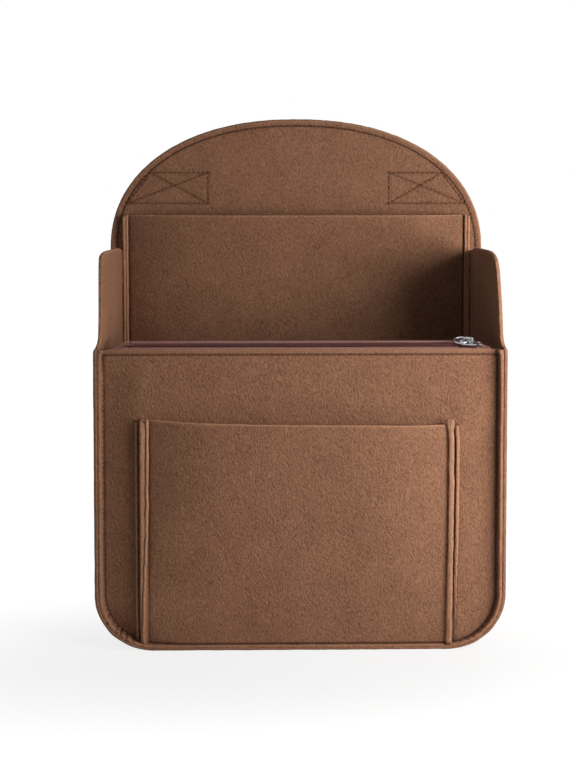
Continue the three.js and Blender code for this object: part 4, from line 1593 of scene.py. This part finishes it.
@dataclass
class SideStrip(Assembly):
    """The strip that makes the sides, the bottom and the rounded ears."""

    crease: float = 3.4 * MM
    setback: float = 0.1 * MM
    ear_lean: tuple = (1.5 * MM, 0.6 * MM)
    ear_bend: tuple = (0.0, 3 * MM)
    ear_start: float = 2 * MM
    ear_turn: float = 9 * MM
    ear_height: float = 60 * MM
    ear_depth: tuple = (0.1, 0.6)
    crease_share: float = 0.57
    rim_blend: float = 12 * MM
    pucker: float = 0.3 * MM
    pucker_run: float = 7 * MM
    pucker_pitch: float = 2.4 * MM
    thread_lift: tuple = (0.05 * MM, 0.02 * MM)
    thread_end: float = 1 * MM
    # Near the front wall's top, over this distance, the painted shade at the strip's front fades out.
    shade_free_top: float = 2 * MM
    ear_shares: tuple = (
        (0, 0.06, 0.06),
        (0.01, 0.14, 0.14),
        (0.02, 0.27, 0.27),
        (0.03, 0.88, 0.83),
        (0.05, 0.975, 0.93),
        (0.09, 1, 0.985),
        (0.17, 1.012, 1.01),
        (0.25, 1.012, 1.012),
        (0.43, 1, 1.002),
        (0.57, 0.99, 0.995),
        (0.74, 0.975, 0.975),
        (0.88, 0.94, 0.94),
    )

    def columns(self, path: UPath) -> tuple[Array, Array, Array, Array]:
        """Shape of the strip across its depth.

        Args:
            path: the stations along the strip.

        Returns:
            Distance out and Y of each station and column, then thickness and top of each column.
        """
        felt, face = LAYOUT.felt, LAYOUT.front_face
        back = LAYOUT.flange_face - felt / 2
        depth = LAYOUT.flange_face - face
        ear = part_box("gusset_strip")[1].z
        flange_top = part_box("flange_stitching")[1].z
        lean, reach, thin = (part[:, None] for part in LAYOUT.rim_shape(path))
        wall = graded(face, back, coarse=2.4 * MM, fine=0.8 * MM, hot=[face, back], reach=5 * MM)
        front = np.linspace(0, 1, 6)[:-1]
        rear = np.linspace(0, 1, 6)[1:]
        level = 0 * lean
        flange = (LAYOUT.back_margin - LAYOUT.lining_step - felt / 2) * rear
        shifted = np.concatenate([lean * (1 - front), level + 0 * wall, level + flange], axis=1)
        start = face - reach + self.setback
        y = np.concatenate([lerp(start, face, front), level + wall, level + 0 * rear + back], axis=1)
        shares = np.array(self.ear_shares)
        places = np.concatenate([[-LAYOUT.rim_reach[0] / depth], shares[:, 0], [1]])
        tops = []
        for rises in (shares[:, 1], shares[:, 2]):
            heights = [[LAYOUT.front_top], LAYOUT.front_top + (ear - LAYOUT.front_top) * rises, [flange_top]]
            row = np.interp((y[0] - face) / depth, places, np.concatenate(heights))
            tops.append(relaxed(row[None, :, None], passes=1)[..., 0])
        top = np.where(path.side[:, None] < 0, *tops)
        thickness = lerp(thin, felt, smooth((y - face) / self.rim_blend))
        line = relaxed(np.stack([thickness / 2 + shifted, y], axis=-1), passes=3)
        return line[..., 0], line[..., 1], thickness, top

    def build(self) -> None:
        """Builds the strip and the seams along its two flanges."""
        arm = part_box("gusset_strip")[1].z - LAYOUT.corner
        path = UPath.spaced(arm, 2 * MM, LAYOUT.corner, LAYOUT.back_half - LAYOUT.corner)
        out, y, thickness, top = self.columns(path)
        depth = LAYOUT.flange_face - LAYOUT.front_face
        share = np.clip((y - LAYOUT.front_face) / depth, 0, 1)
        outline = LAYOUT.strip_front.mixed(LAYOUT.strip_back, share)
        fold = np.minimum(share / self.crease_share, (1 - share) / (1 - self.crease_share))
        inward = self.crease * fold * smooth(path.share)[:, None]
        middle = path.points(outline, out - inward, y, top)
        above = middle[..., 2] - LAYOUT.front_top
        lean, bend = (np.where(path.side < 0, *pair)[:, None] for pair in (self.ear_lean, self.ear_bend))
        lean = lean * smooth((above + self.ear_start) / self.ear_turn)
        lean = lean + bend * np.clip(above / self.ear_height, 0, 1) ** 2
        behind, fade = self.ear_depth
        middle[..., 0] -= np.sign(middle[..., 0]) * lean * (1 - smooth((share - behind) / fade))
        run = lengths(middle, 0)[:, :1]
        front_share = smooth(1 - lengths(middle, 1) / self.pucker_run)
        turning = np.sin(path.angle * 2)[:, None] ** 2
        middle[..., 1] -= self.pucker * turning * np.sin(run / self.pucker_pitch + 2) * front_share
        sheet = FeltSheet(middle, thickness)
        # A weaker painted highlight on the strip's cut edges.
        sheet.round, sheet.pale = 0.3 * MM, 0.5
        across = lengths(middle, 1)
        run = np.broadcast_to(run, across.shape)
        # Painted shade in the front stitch groove.
        sheet.groove(across - LAYOUT.rim_reach[0] / 2, run, depth=0.3 * MM)
        # Painted shade on the strip's front edge beside the rim, faded out near the top of the front wall.
        below = smooth((LAYOUT.front_top - middle[..., 2]) / self.shade_free_top)
        sheet.paint_shade(across, shade=0.25, width=1.6 * MM)
        sheet.seam = sheet.seam * np.where(across < self.shade_free_top, below, 1)
        # Painted shade in the rear flange's stitch groove.
        rear_seam = across[:, -1:] - across - (LAYOUT.edge_inset - LAYOUT.lining_step)
        sheet.groove(rear_seam, run, depth=0.35 * MM)
        self.hand_over(sheet.build("side_strip"), FELT, "gusset_strip")
        self._seams(path, flange_top=float(top[0, -1]))

    def _seams(self, path: UPath, flange_top: float) -> None:
        """Sews the outer line of the front rim and the line of the rear flange."""
        lean, reach, thin = (part[:, None] for part in LAYOUT.rim_shape(path))
        outer = path.points(
            LAYOUT.strip_front,
            thin + lean / 2 - self.thread_lift[0],
            LAYOUT.front_face + (self.setback - reach) / 2,
            LAYOUT.front_top - self.thread_end,
        )
        self.sew("rim_stitches_outer", [outer[:, 0]], "front_seam_outer_stitching")
        inset = LAYOUT.back_margin - LAYOUT.edge_inset
        rear = path.points(
            LAYOUT.strip_back,
            np.array([inset]),
            np.array([LAYOUT.flange_face - LAYOUT.felt - self.thread_lift[1]]),
            flange_top - self.thread_end,
        )
        self.sew("flange_stitches", [rear[:, 0]], "flange_stitching")


@dataclass
class BackWall(Assembly):
    """The arched back of two layers, sewn round its edge."""

    centre: tuple[float, float] = (0.0, 160 * MM)
    box_drop: float = 48.6 * MM
    box_width: float = 21.6 * MM
    box_inner: tuple[float, float] = (62.5 * MM, 65.5 * MM)
    ridge_felt: float = 2.1 * MM
    ridge_step: float = 1.6 * MM
    ridge_sink: float = 0.1 * MM
    wander: tuple[float, float] = (0.15 * MM, 0.2 * MM)
    wander_run: float = 11 * MM
    edge_lift: float = 0.02 * MM
    arch_lift: float = 0.06 * MM
    box_lift: float = 0.1 * MM

    def insets(self) -> Array:
        """Insets of the rings, close together at the edge stitch."""
        hot = [0, LAYOUT.edge_inset]
        return graded(0, 44 * MM, coarse=1.5 * MM, fine=0.6 * MM, hot=hot, reach=2 * MM)

    def layer(self, name: str, step: float, face: float, box_inset: float, *nodes: str) -> None:
        """Builds one layer.

        Args:
            name: the piece's name.
            step: how much smaller than the outer layer it is.
            face: Y of its front face.
            box_inset: how far inside the edge the strap's boxes end.
            nodes: the CAD nodes that it stands for.
        """
        insets = self.insets() + step
        middle = disc(LAYOUT.back_outline, face + LAYOUT.felt / 2, insets, self.centre)
        sheet = FeltSheet(middle, loop=True)
        depth = np.concatenate([insets, np.full(len(middle) - len(insets), 1.0)])
        distance = np.broadcast_to(depth[:, None] - LAYOUT.edge_inset, middle.shape[:2])
        run = np.broadcast_to(lengths(middle, 1)[:1], middle.shape[:2])
        # Painted shade in the edge stitch's groove and along the strap boxes' pressed lines.
        sheet.groove(distance, run, depth=0.6 * MM, shade=0.85)
        for side in Side:
            sheet.press(self.box_runs(side, box_inset))
        self.hand_over(sheet.build(name), FELT, *nodes)

    def ridges(self) -> None:
        """Builds the lining's pinched ridges beside the tall pocket."""
        low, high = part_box("rear_pocket")
        heights = np.arange(low.z, high.z - LAYOUT.rear_sag, self.ridge_step)
        reach = LAYOUT.lining_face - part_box("back_panel_lining")[0].y
        for side in Side:
            x = side.value * (side.pick(REAR_FOLDS).outside + self.ridge_felt / 2)
            z, share = np.meshgrid(heights, np.linspace(0, 1, 8), indexing="ij")
            wander = Noise(41, self.wander_run)(spots(z, side.value, 0)) * share
            root = LAYOUT.lining_face + LAYOUT.felt / 2
            seam = LAYOUT.lining_face - reach / 2
            y = lerp(root, LAYOUT.lining_face - reach, share) + self.wander[1] * wander
            sheet = FeltSheet(spots(x + self.wander[0] * wander, y, z), self.ridge_felt)
            # Painted shade in the ridge's stitch groove.
            sheet.groove(y - seam, z, depth=0.3 * MM)
            self.hand_over(sheet.build(f"lining_ridge_{side.word}"), FELT)
            line = spots(x + side.value * (self.ridge_felt / 2 - self.ridge_sink), seam, heights)
            self.sew(f"lining_ridge_stitches_{side.word}", [line[2:-1]], f"rear_pocket_stitching_{side.word}")

    def box_runs(self, side: Side, inset: float) -> list[Array]:
        """The box with crossed diagonals that holds one end of the strap.

        Args:
            side: which end.
            inset: how far inside the arch's edge its outer side runs.

        Returns:
            The X and Z of the two ends of each run of stitches.
        """
        middle = LAYOUT.top - self.box_drop
        heights = middle - self.box_width / 2, middle + self.box_width / 2
        inner = side.pick(self.box_inner)
        outer = [LAYOUT.arch_half(height, inset) for height in heights]
        across = np.array([inner, outer[0], outer[1], inner]) * side.value
        corners = np.stack([across, np.array(heights)[[0, 0, 1, 1]]], axis=-1)
        return [corners[list(run)] for run in ((0, 1), (1, 2), (2, 3), (3, 0), (0, 2), (1, 3))]

    def box_lines(self, side: Side, inset: float, face: float) -> list[Array]:
        """The box as lines of points for its stitches.

        Args:
            side: which end of the strap.
            inset: how far inside the arch's edge its outer side runs.
            face: Y of the stitches.

        Returns:
            The lines.
        """
        share = np.linspace(0, 1, 12)[:, None]
        runs = [lerp(start, end, share) for start, end in self.box_runs(side, inset)]
        return [np.insert(run, 1, face, axis=-1) for run in runs]

    def edge_lines(self) -> None:
        """Sews round the edge of both layers and the strap boxes on the lining."""
        inset = LAYOUT.edge_inset
        whole = LAYOUT.back_outline(inset)
        whole = np.concatenate([whole, whole[:1]])
        rear = np.insert(whole, 1, LAYOUT.back_face + self.edge_lift, axis=-1)
        self.sew("edge_stitches_outside", [rear], "back_edge_stitching")
        arch = LAYOUT.arch(inset, 160)
        front = np.insert(arch, 1, LAYOUT.lining_face - self.arch_lift, axis=-1)
        self.sew("edge_stitches_inside", [front], "arch_edge_stitching")
        face = LAYOUT.lining_face - self.box_lift
        for side in Side:
            lines = self.box_lines(side, inset + LAYOUT.lining_step, face)
            self.sew(f"strap_box_inside_{side.word}", lines, f"strap_stitching_inside_{side.word}")

    def build(self) -> None:
        """Builds both layers, the ridges and their stitches."""
        inset = LAYOUT.edge_inset + LAYOUT.lining_step
        self.layer("back_outer_layer", 0, LAYOUT.back_face - LAYOUT.felt, inset, "back_panel_shell")
        self.layer("back_lining", LAYOUT.lining_step, LAYOUT.lining_face, inset, "back_panel_lining")
        self.ridges()
        self.edge_lines()


@dataclass
class BackStrap(Assembly):
    """The webbing strap across the outside of the back."""

    wall: BackWall = field(default_factory=BackWall)
    span: float = 128 * MM
    thickness: float = 1.8 * MM
    end_inset: float = 7 * MM
    box_inset: float = 1.5 * MM
    thread_lift: float = 0.05 * MM

    def build(self) -> None:
        """Builds the strap, its ends trimmed along the arch, and the boxes sewn on it."""
        low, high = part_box("back_strap")
        face = LAYOUT.back_face + LAYOUT.gap
        room = high.y - self.thickness - face
        heights = np.linspace(low.z, high.z, 19)
        share = np.linspace(-1, 1, 130)
        rows = []
        for z in heights:
            reach = LAYOUT.arch_half(z, self.end_inset)
            x = share * reach
            free = np.clip(np.abs(2 * x / self.span), 0, 1)
            y = face + self.thickness / 2 + room * (1 - free**2) ** 2
            rows.append(spots(x, y, z))
        sheet = FeltSheet(np.stack(rows), self.thickness)
        sheet.lumpy, sheet.round, sheet.fray = 0.04 * MM, 0.5 * MM, 0.03 * MM
        piece = sheet.build("strap", WEBBING)
        points = np.array([vertex.co for vertex in piece.data.vertices])
        cloth_map(piece, points[:, [0, 2]])
        self.hand_over(piece, WEBBING, "back_strap")
        outside = face + self.thickness + self.thread_lift
        for side in Side:
            lines = self.wall.box_lines(side, self.end_inset + self.box_inset, outside)
            self.sew(f"strap_box_outside_{side.word}", lines, f"strap_stitching_{side.word}")


# The zip


@dataclass
class ZipLine(Assembly):
    """The zip: how it lies in the mouth of its pocket, its tapes and chain."""

    tilt: float = math.radians(16)
    end_run: tuple[float, float] = (13.1 * MM, 14 * MM)
    end_drop: tuple[float, float] = (2.5 * MM, 0.6 * MM)
    thickness: float = 0.6 * MM
    slit: float = 1.4 * MM
    end_slit: float = 0.3 * MM
    end_margin: float = 2.6 * MM
    hang: float = 9 * MM
    waver: float = 0.12 * MM
    waver_run: float = 14 * MM
    pitch: float = 1.35 * MM
    coil_width: float = 1.9 * MM
    coil_height: float = 1.6 * MM
    coil_mesh: float = 0.3 * MM
    coil_over: float = 0.7 * MM
    coil_slant: float = 0.22
    coil_start: tuple[float, float] = (0.75, 1.25)
    wire: float = 0.36 * MM
    hem_lift: float = 0.2 * MM

    @property
    def panel_half(self) -> float:
        """Half the width of the pocket's rear wall."""
        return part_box("zip_pocket_panel")[1].x

    @property
    def room(self) -> float:
        """Depth of the mouth at its middle."""
        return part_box("zip_pocket_panel")[1].y - LAYOUT.felt - LAYOUT.panel_back

    @property
    def bend(self) -> float:
        """How far behind the front wall the front tape hangs."""
        return LAYOUT.gap + self.thickness / 2

    def closed(self, x: Array) -> Array:
        """How far the mouth has closed at each X."""
        start = self.panel_half - np.where(x < 0, *self.end_run)
        return smooth((np.abs(x) - start) / (self.panel_half - start))

    def mouth(self, x: Array) -> Array:
        """Depth of the mouth at each X."""
        end = 2 * (LAYOUT.gap + self.thickness) + self.end_slit + 2 * self.thickness
        return lerp(self.room, end, self.closed(x))

    def height(self, x: Array, behind: Array | float) -> Array:
        """Height of the tape's middle plane, a distance behind the front wall."""
        level = LAYOUT.front_top - LAYOUT.hem_rise
        bend = level - self.thickness / 2 - np.where(x < 0, *self.end_drop) * self.closed(x)
        return bend + (behind - self.bend) * math.tan(self.tilt)

    def frame(self) -> Matrix:
        """The zip's own frame: along X, up the slope of the tapes, and off them."""
        behind = self.room / 2
        place = Vector((0, LAYOUT.panel_back + behind, float(self.height(np.zeros(1), behind)[0])))
        return Matrix.Translation(place) @ Matrix.Rotation(self.tilt, 4, "X")

    def wall(self) -> None:
        """Builds the felt wall behind the zip."""
        outline = LAYOUT.front_outline.grown(-LAYOUT.gap)
        crown = (self.thickness / 2 + LAYOUT.gap) / math.cos(self.tilt)
        half = self.panel_half
        xs = graded(-half, half, coarse=2.4 * MM, fine=1.2 * MM, hot=[-half, half], reach=12 * MM)
        tops = self.height(xs, self.mouth(xs)) - crown
        rise = np.linspace(0, 1, 76)[:, None] ** 0.8
        z = lerp(outline.bottom, tops[None], rise)
        x = xs[None] / half * outline.half_at(z)
        deep = smooth(z / (LAYOUT.front_top - self.hang - self.end_drop[0]))
        y = LAYOUT.panel_back + lerp(LAYOUT.gap, self.mouth(xs)[None], deep) + LAYOUT.felt / 2
        y = y - np.minimum(LAYOUT.billow(x, z), 0)
        self.hand_over(FeltSheet(spots(x, y, z)).build("zip_pocket_wall"), FELT, "zip_pocket_panel")

    def tape(self, name: str, rear: bool, node: str) -> None:
        """Builds one tape.

        Args:
            name: the piece's name.
            rear: whether it is the one that folds over the pocket's rear wall.
            node: the CAD node that it stands for.
        """
        end = self.panel_half - self.end_margin
        xs = graded(-end, end, coarse=2.5 * MM, fine=0.8 * MM, hot=[-end, end], reach=14 * MM)
        slit = lerp(self.slit, self.end_slit, self.closed(xs)) / 2
        mouth = self.mouth(xs)
        edge = mouth / 2 + (slit if rear else -slit)
        fold = mouth + LAYOUT.felt + self.bend if rear else np.full(len(xs), self.bend)
        heights = [self.height(xs, edge), self.height(xs, fold), self.height(xs, fold) - self.hang]
        share = np.concatenate([np.linspace(0, 1, 10), np.linspace(1, 2, 9)[1:]])
        behind, up = (between(np.array(knots), share) for knots in ([edge, fold, fold], heights))
        middle = relaxed(spots(xs[:, None], LAYOUT.panel_back + behind, up), passes=2)
        middle[..., 2] += self.waver * Noise(51, self.waver_run)(middle)
        sheet = FeltSheet(middle, self.thickness)
        sheet.lumpy, sheet.round, sheet.fray = 0.03 * MM, 0.15 * MM, 0.03 * MM
        piece = sheet.build(name, TAPE)
        flat = np.stack([middle[..., 0], lengths(middle, 1)], axis=-1).reshape(-1, 2)
        edge_points = len(piece.data.vertices) - 2 * len(flat)
        cloth_map(piece, np.concatenate([flat, flat, np.repeat(flat[:1], edge_points, axis=0)]))
        self.hand_over(piece, TAPE, node)

    def chain(self) -> None:
        """Builds the two rows of coil turns, meshed half a turn apart."""
        low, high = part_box("zip_front_coil")
        start, length = low.x, high.x - low.x
        lift = self.thickness / 2 + LAYOUT.gap + self.coil_height / 2
        for name, node, side in (("coil_front", "zip_front_coil", -1), ("coil_rear", "zip_rear_coil", 1)):
            values = {
                "Turns": int(length / self.pitch) - 1,
                "Pitch": self.pitch,
                "Width": self.coil_width + self.coil_over - 2 * self.wire,
                "Height": self.coil_height - 2 * self.wire,
                "Wire": self.wire,
                "Slant": side * self.coil_slant,
                "Material": NYLON.material(),
            }
            piece = Repeats.run(name, [np.zeros((1, 3))], Repeats.coil(), values)
            across = side * (self.slit / 2 + self.coil_width / 2 - self.coil_mesh)
            first = start + self.pitch * self.coil_start[side > 0]
            piece.data.transform(self.frame() @ Matrix.Translation((first, across, lift)))
            self.hand_over(piece, NYLON, node)

    def stops(self) -> None:
        """Clamps the metal stops round the ends of the chain."""
        for node in ("zip_front_top_stop", "zip_rear_top_stop", "zip_bottom_stop"):
            stop = frame["nodes"][node]
            finish = DULL_METAL if "bottom" in node else METAL
            piece = bevelled_copy(stop, node.replace("zip_", "metal_"), 0.35 * MM, finish)
            self.hand_over(piece, finish, node)

    def build(self) -> None:
        """Builds the fixed parts of the zip."""
        self.wall()
        self.tape("tape_front", False, "zip_front_tape")
        self.tape("tape_rear", True, "zip_rear_tape")
        self.chain()
        self.stops()
        low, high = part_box("zip_hem_stitching")
        line = spots(np.linspace(low.x, high.x, 100), low.y - self.hem_lift, (low.z + high.z) / 2)
        self.sew("zip_hem_stitches", [line], "zip_hem_stitching")


def bevelled_copy(source: bpy.types.Object, name: str, width: float, finish: Finish) -> bpy.types.Object:
    """A rounded copy of a CAD node.

    Args:
        source: the node.
        name: the copy's name.
        width: of the rounding.
        finish: what it is made of.

    Returns:
        The copy.
    """
    mesh = source.data.copy()
    mesh.name = name
    work = bmesh.new()
    work.from_mesh(mesh)
    bmesh.ops.remove_doubles(work, verts=work.verts, dist=0.01 * MM)
    bmesh.ops.dissolve_limit(work, angle_limit=0.03, verts=work.verts, edges=work.edges)
    work.to_mesh(mesh)
    work.free()
    mesh.materials.clear()
    mesh.materials.append(finish.material())
    piece = in_scene(name, mesh)
    bevel = piece.modifiers.new("rounding", "BEVEL")
    bevel.width, bevel.segments, bevel.limit_method = width, 3, "ANGLE"
    bake(piece)
    piece.data.shade_smooth()
    return piece


@dataclass
class Slider(Assembly):
    """The slider that rides on the chain."""

    body = "slider"

    def build(self) -> None:
        """Rounds the slider's plates and bridge."""
        node = frame["nodes"]["zip_slider"]
        self.hand_over(bevelled_copy(node, "slider_body", 0.3 * MM, METAL), METAL, "zip_slider")


@dataclass
class PullRing(Assembly):
    """The ring that hangs in the slider's bridge."""

    body = "pull_ring"
    radius: float = 4.4 * MM
    wire: float = 0.6 * MM
    sag: float = math.radians(6)
    around: int = 56
    sides: int = 14

    def build(self) -> None:
        """Builds a smooth ring at its rest, lying to the left of its pivot."""
        joint = next(j for j in frame["joints"] if j["child"] == self.body)
        pivot = Vector(joint["pos_m"])
        tilt = math.atan2(joint["axis"][2], joint["axis"][1])
        turn = np.linspace(0, math.tau, self.around, endpoint=False)[:, None]
        roll = np.linspace(0, math.tau, self.sides, endpoint=False)[None]
        reach = self.radius + self.wire * np.cos(roll)
        flat = [reach * np.cos(turn) - self.radius, reach * np.sin(turn), self.wire * np.sin(roll) + 0 * turn]
        points = np.stack(flat, axis=-1)
        place = Matrix.Translation(pivot) @ Matrix.Rotation(tilt, 4, "X") @ Matrix.Rotation(-self.sag, 4, "Y")
        turned = points @ np.array(place.to_3x3()).T + np.array(place.translation)
        grid = np.arange(self.around * self.sides).reshape(self.around, self.sides)
        ahead = np.roll(grid, -1, axis=0)
        corners = [grid, ahead, np.roll(ahead, -1, axis=1), np.roll(grid, -1, axis=1)]
        faces = np.stack([corner.ravel() for corner in corners], axis=1).tolist()
        self.hand_over(new_object("ring", turned, faces, METAL), METAL, "zip_pull_ring")


# Camera, light and floor


@dataclass(frozen=True)
class Lamp:
    """A square soft lamp: where it hangs, the point that it faces, its side and its power."""

    name: str
    place: tuple[float, float, float]
    aim: tuple[float, float, float]
    size: float
    watts: float
    tint: ClassVar[tuple[float, float, float]] = (1.0, 0.985, 0.965)

    def hang(self) -> None:
        """Adds the lamp, unseen by the camera."""
        data = bpy.data.lights.new(self.name, "AREA")
        data.shape, data.size, data.energy, data.color = "SQUARE", self.size, self.watts, self.tint
        lamp = in_scene(self.name, data)
        lamp.location = self.place
        lamp.visible_camera = False
        lamp.rotation_euler = (Vector(self.aim) - Vector(self.place)).to_track_quat("-Z", "Y").to_euler()


@dataclass
class Studio:
    """A pale floor, a near soft lamp at the right, weak ones round about and the camera."""

    CORNERS: ClassVar[tuple] = ((-1, -1), (1, -1), (1, 1), (-1, 1))
    distance: float = 777.9 * MM
    eye_height: float = 300.1 * MM
    eye_side: float = -20.4 * MM
    focal_px: float = 1262.0
    picture: tuple[int, int] = (576, 768)
    pitch: float = math.radians(2.75)
    yaw: float = math.radians(0.923)
    shift: float = -0.2016
    sensor: float = 24.0
    ambient: float = 0.06
    bounce: float = 0.7
    glow: float = 0.03
    pale: float = 0.16
    # Depth, reach, centre and stretch of the painted shadow round the insert on the floor.
    shade: float = 0.2
    shade_run: tuple[float, float] = (0.02, 0.16)
    shade_place: tuple[float, float, float] = (0.0, 0.085, 0.0)
    shade_shrink: tuple[float, float, float] = (0.35, 1.0, 1.0)
    floor_half: float = 4.0
    floor_level: float = -0.1 * MM
    lamps: tuple[Lamp, ...] = (
        Lamp("key", (0.37, -0.30, 0.26), (0.0, -0.02, 0.15), 0.3, 2.6),
        Lamp("front", (-0.2, -1.1, 1.0), (0.0, -0.02, 0.15), 0.8, 1.3),
        Lamp("top", (0.1, 0.1, 1.3), (0.0, -0.02, 0.15), 0.8, 1.0),
        Lamp("back", (0.5, 1.3, 0.6), (0.0, 0.06, 0.15), 0.8, 6.0),
    )

    def camera(self) -> None:
        """Sets up the camera at the photograph's viewpoint."""
        data = bpy.data.cameras.new("camera")
        data.sensor_fit = "VERTICAL"
        data.sensor_height = self.sensor
        data.lens = self.sensor * self.focal_px / self.picture[1]
        data.shift_y = self.shift
        data.clip_start, data.clip_end = 0.05, 20
        camera = in_scene("camera", data)
        camera.location = (self.eye_side, LAYOUT.front_face - self.distance, self.eye_height)
        camera.rotation_euler = (QUARTER - self.pitch, 0, -self.yaw)
        bpy.context.scene.camera = camera

    def _seen(self, graph: Graph) -> bpy.types.NodeSocket:
        """1 for rays that show a surface or the backdrop, 0 for those that only carry its light."""
        path = graph.add("ShaderNodeLightPath").outputs
        seen = graph.math("MAXIMUM", path["Is Camera Ray"], path["Is Glossy Ray"])
        return graph.math("MAXIMUM", seen, path["Is Transmission Ray"])

    def world(self) -> None:
        """Lights the scene softly and shows white behind it."""
        world = bpy.data.worlds.new("studio")
        world.use_nodes = True
        bpy.context.scene.world = world
        graph = Graph(world.node_tree)
        graph.tree.nodes.clear()
        ambient = graph.out("ShaderNodeBackground", {"Color": WHITE, "Strength": self.ambient})
        backdrop = graph.out("ShaderNodeBackground", {"Color": WHITE, "Strength": 1.0})
        mix = graph.out("ShaderNodeMixShader", {0: self._seen(graph), 1: ambient, 2: backdrop})
        graph.add("ShaderNodeOutputWorld", {"Surface": mix})

    def floor(self) -> None:
        """Lays the pale floor, which keeps the insert's soft shadow and, for the camera, glows less near the
        insert: a painted shadow.
        """
        material = bpy.data.materials.new("pale_floor")
        material.use_nodes = True
        graph = Graph(material.node_tree)
        graph.tree.nodes.clear()
        # Painted shadow: the floor glows less close to the insert.
        place = graph.add("ShaderNodeTexCoord").outputs["Object"]
        before = graph.vector("MULTIPLY", graph.vector("ADD", place, self.shade_place), self.shade_shrink)
        away = graph.add("ShaderNodeVectorMath", {0: before}, operation="LENGTH").outputs["Value"]
        strength = graph.math("MULTIPLY_ADD", graph.span(away, *self.shade_run), self.shade, 1 - self.shade)
        around = self._surface(graph, self.bounce, self.glow)
        bright = self._surface(graph, self.pale, strength)
        mix = graph.out("ShaderNodeMixShader", {0: self._seen(graph), 1: around, 2: bright})
        graph.add("ShaderNodeOutputMaterial", {"Surface": mix})
        mesh = bpy.data.meshes.new("floor")
        corners = [(x * self.floor_half, y * self.floor_half, self.floor_level) for x, y in self.CORNERS]
        mesh.from_pydata(corners, [], [(0, 1, 2, 3)])
        mesh.materials.append(material)
        floor = in_scene("floor", mesh)

    def _surface(self, graph: Graph, grey: float, glow: object) -> bpy.types.NodeSocket:
        """A matt grey that also gives off white light of a strength."""
        matt = graph.out("ShaderNodeBsdfDiffuse", {"Color": (grey, grey, grey, 1.0)})
        light = graph.out("ShaderNodeEmission", {"Color": WHITE, "Strength": glow})
        return graph.out("ShaderNodeAddShader", {0: matt, 1: light})

    def build(self) -> None:
        """Builds the whole studio."""
        self.camera()
        for lamp in self.lamps:
            lamp.hang()
        self.world()
        self.floor()
        bpy.context.scene.view_settings.view_transform = "Standard"


def main() -> None:
    """Builds every assembly in order."""
    logging.basicConfig(level=logging.INFO, format="%(name)s: %(message)s")
    assemblies = [
        FrontWall(),
        PinchedPocket(
            node="front_pocket",
            name="flat_pocket",
            margin=5.5 * MM,
            wall=LAYOUT.front_face,
            folds=FRONT_FOLDS,
            foot=LAYOUT.rim_foot + 0.1 * MM,
            rise=LAYOUT.pocket_rise,
            billow=True,
        ),
        SideStrip(),
        BackWall(),
        PinchedPocket(
            node="rear_pocket",
            name="tall_pocket",
            margin=5 * MM,
            wall=LAYOUT.lining_face,
            folds=REAR_FOLDS,
            foot=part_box("rear_pocket")[0].z,
            rise=-LAYOUT.rear_sag,
        ),
        ZipLine(),
        Slider(),
        PullRing(),
        BackStrap(),
        Studio(),
    ]
    for assembly in assemblies:
        assembly.build()
        LOG.info("%s is done", type(assembly).__name__)


if __name__ == "__main__":
    main()
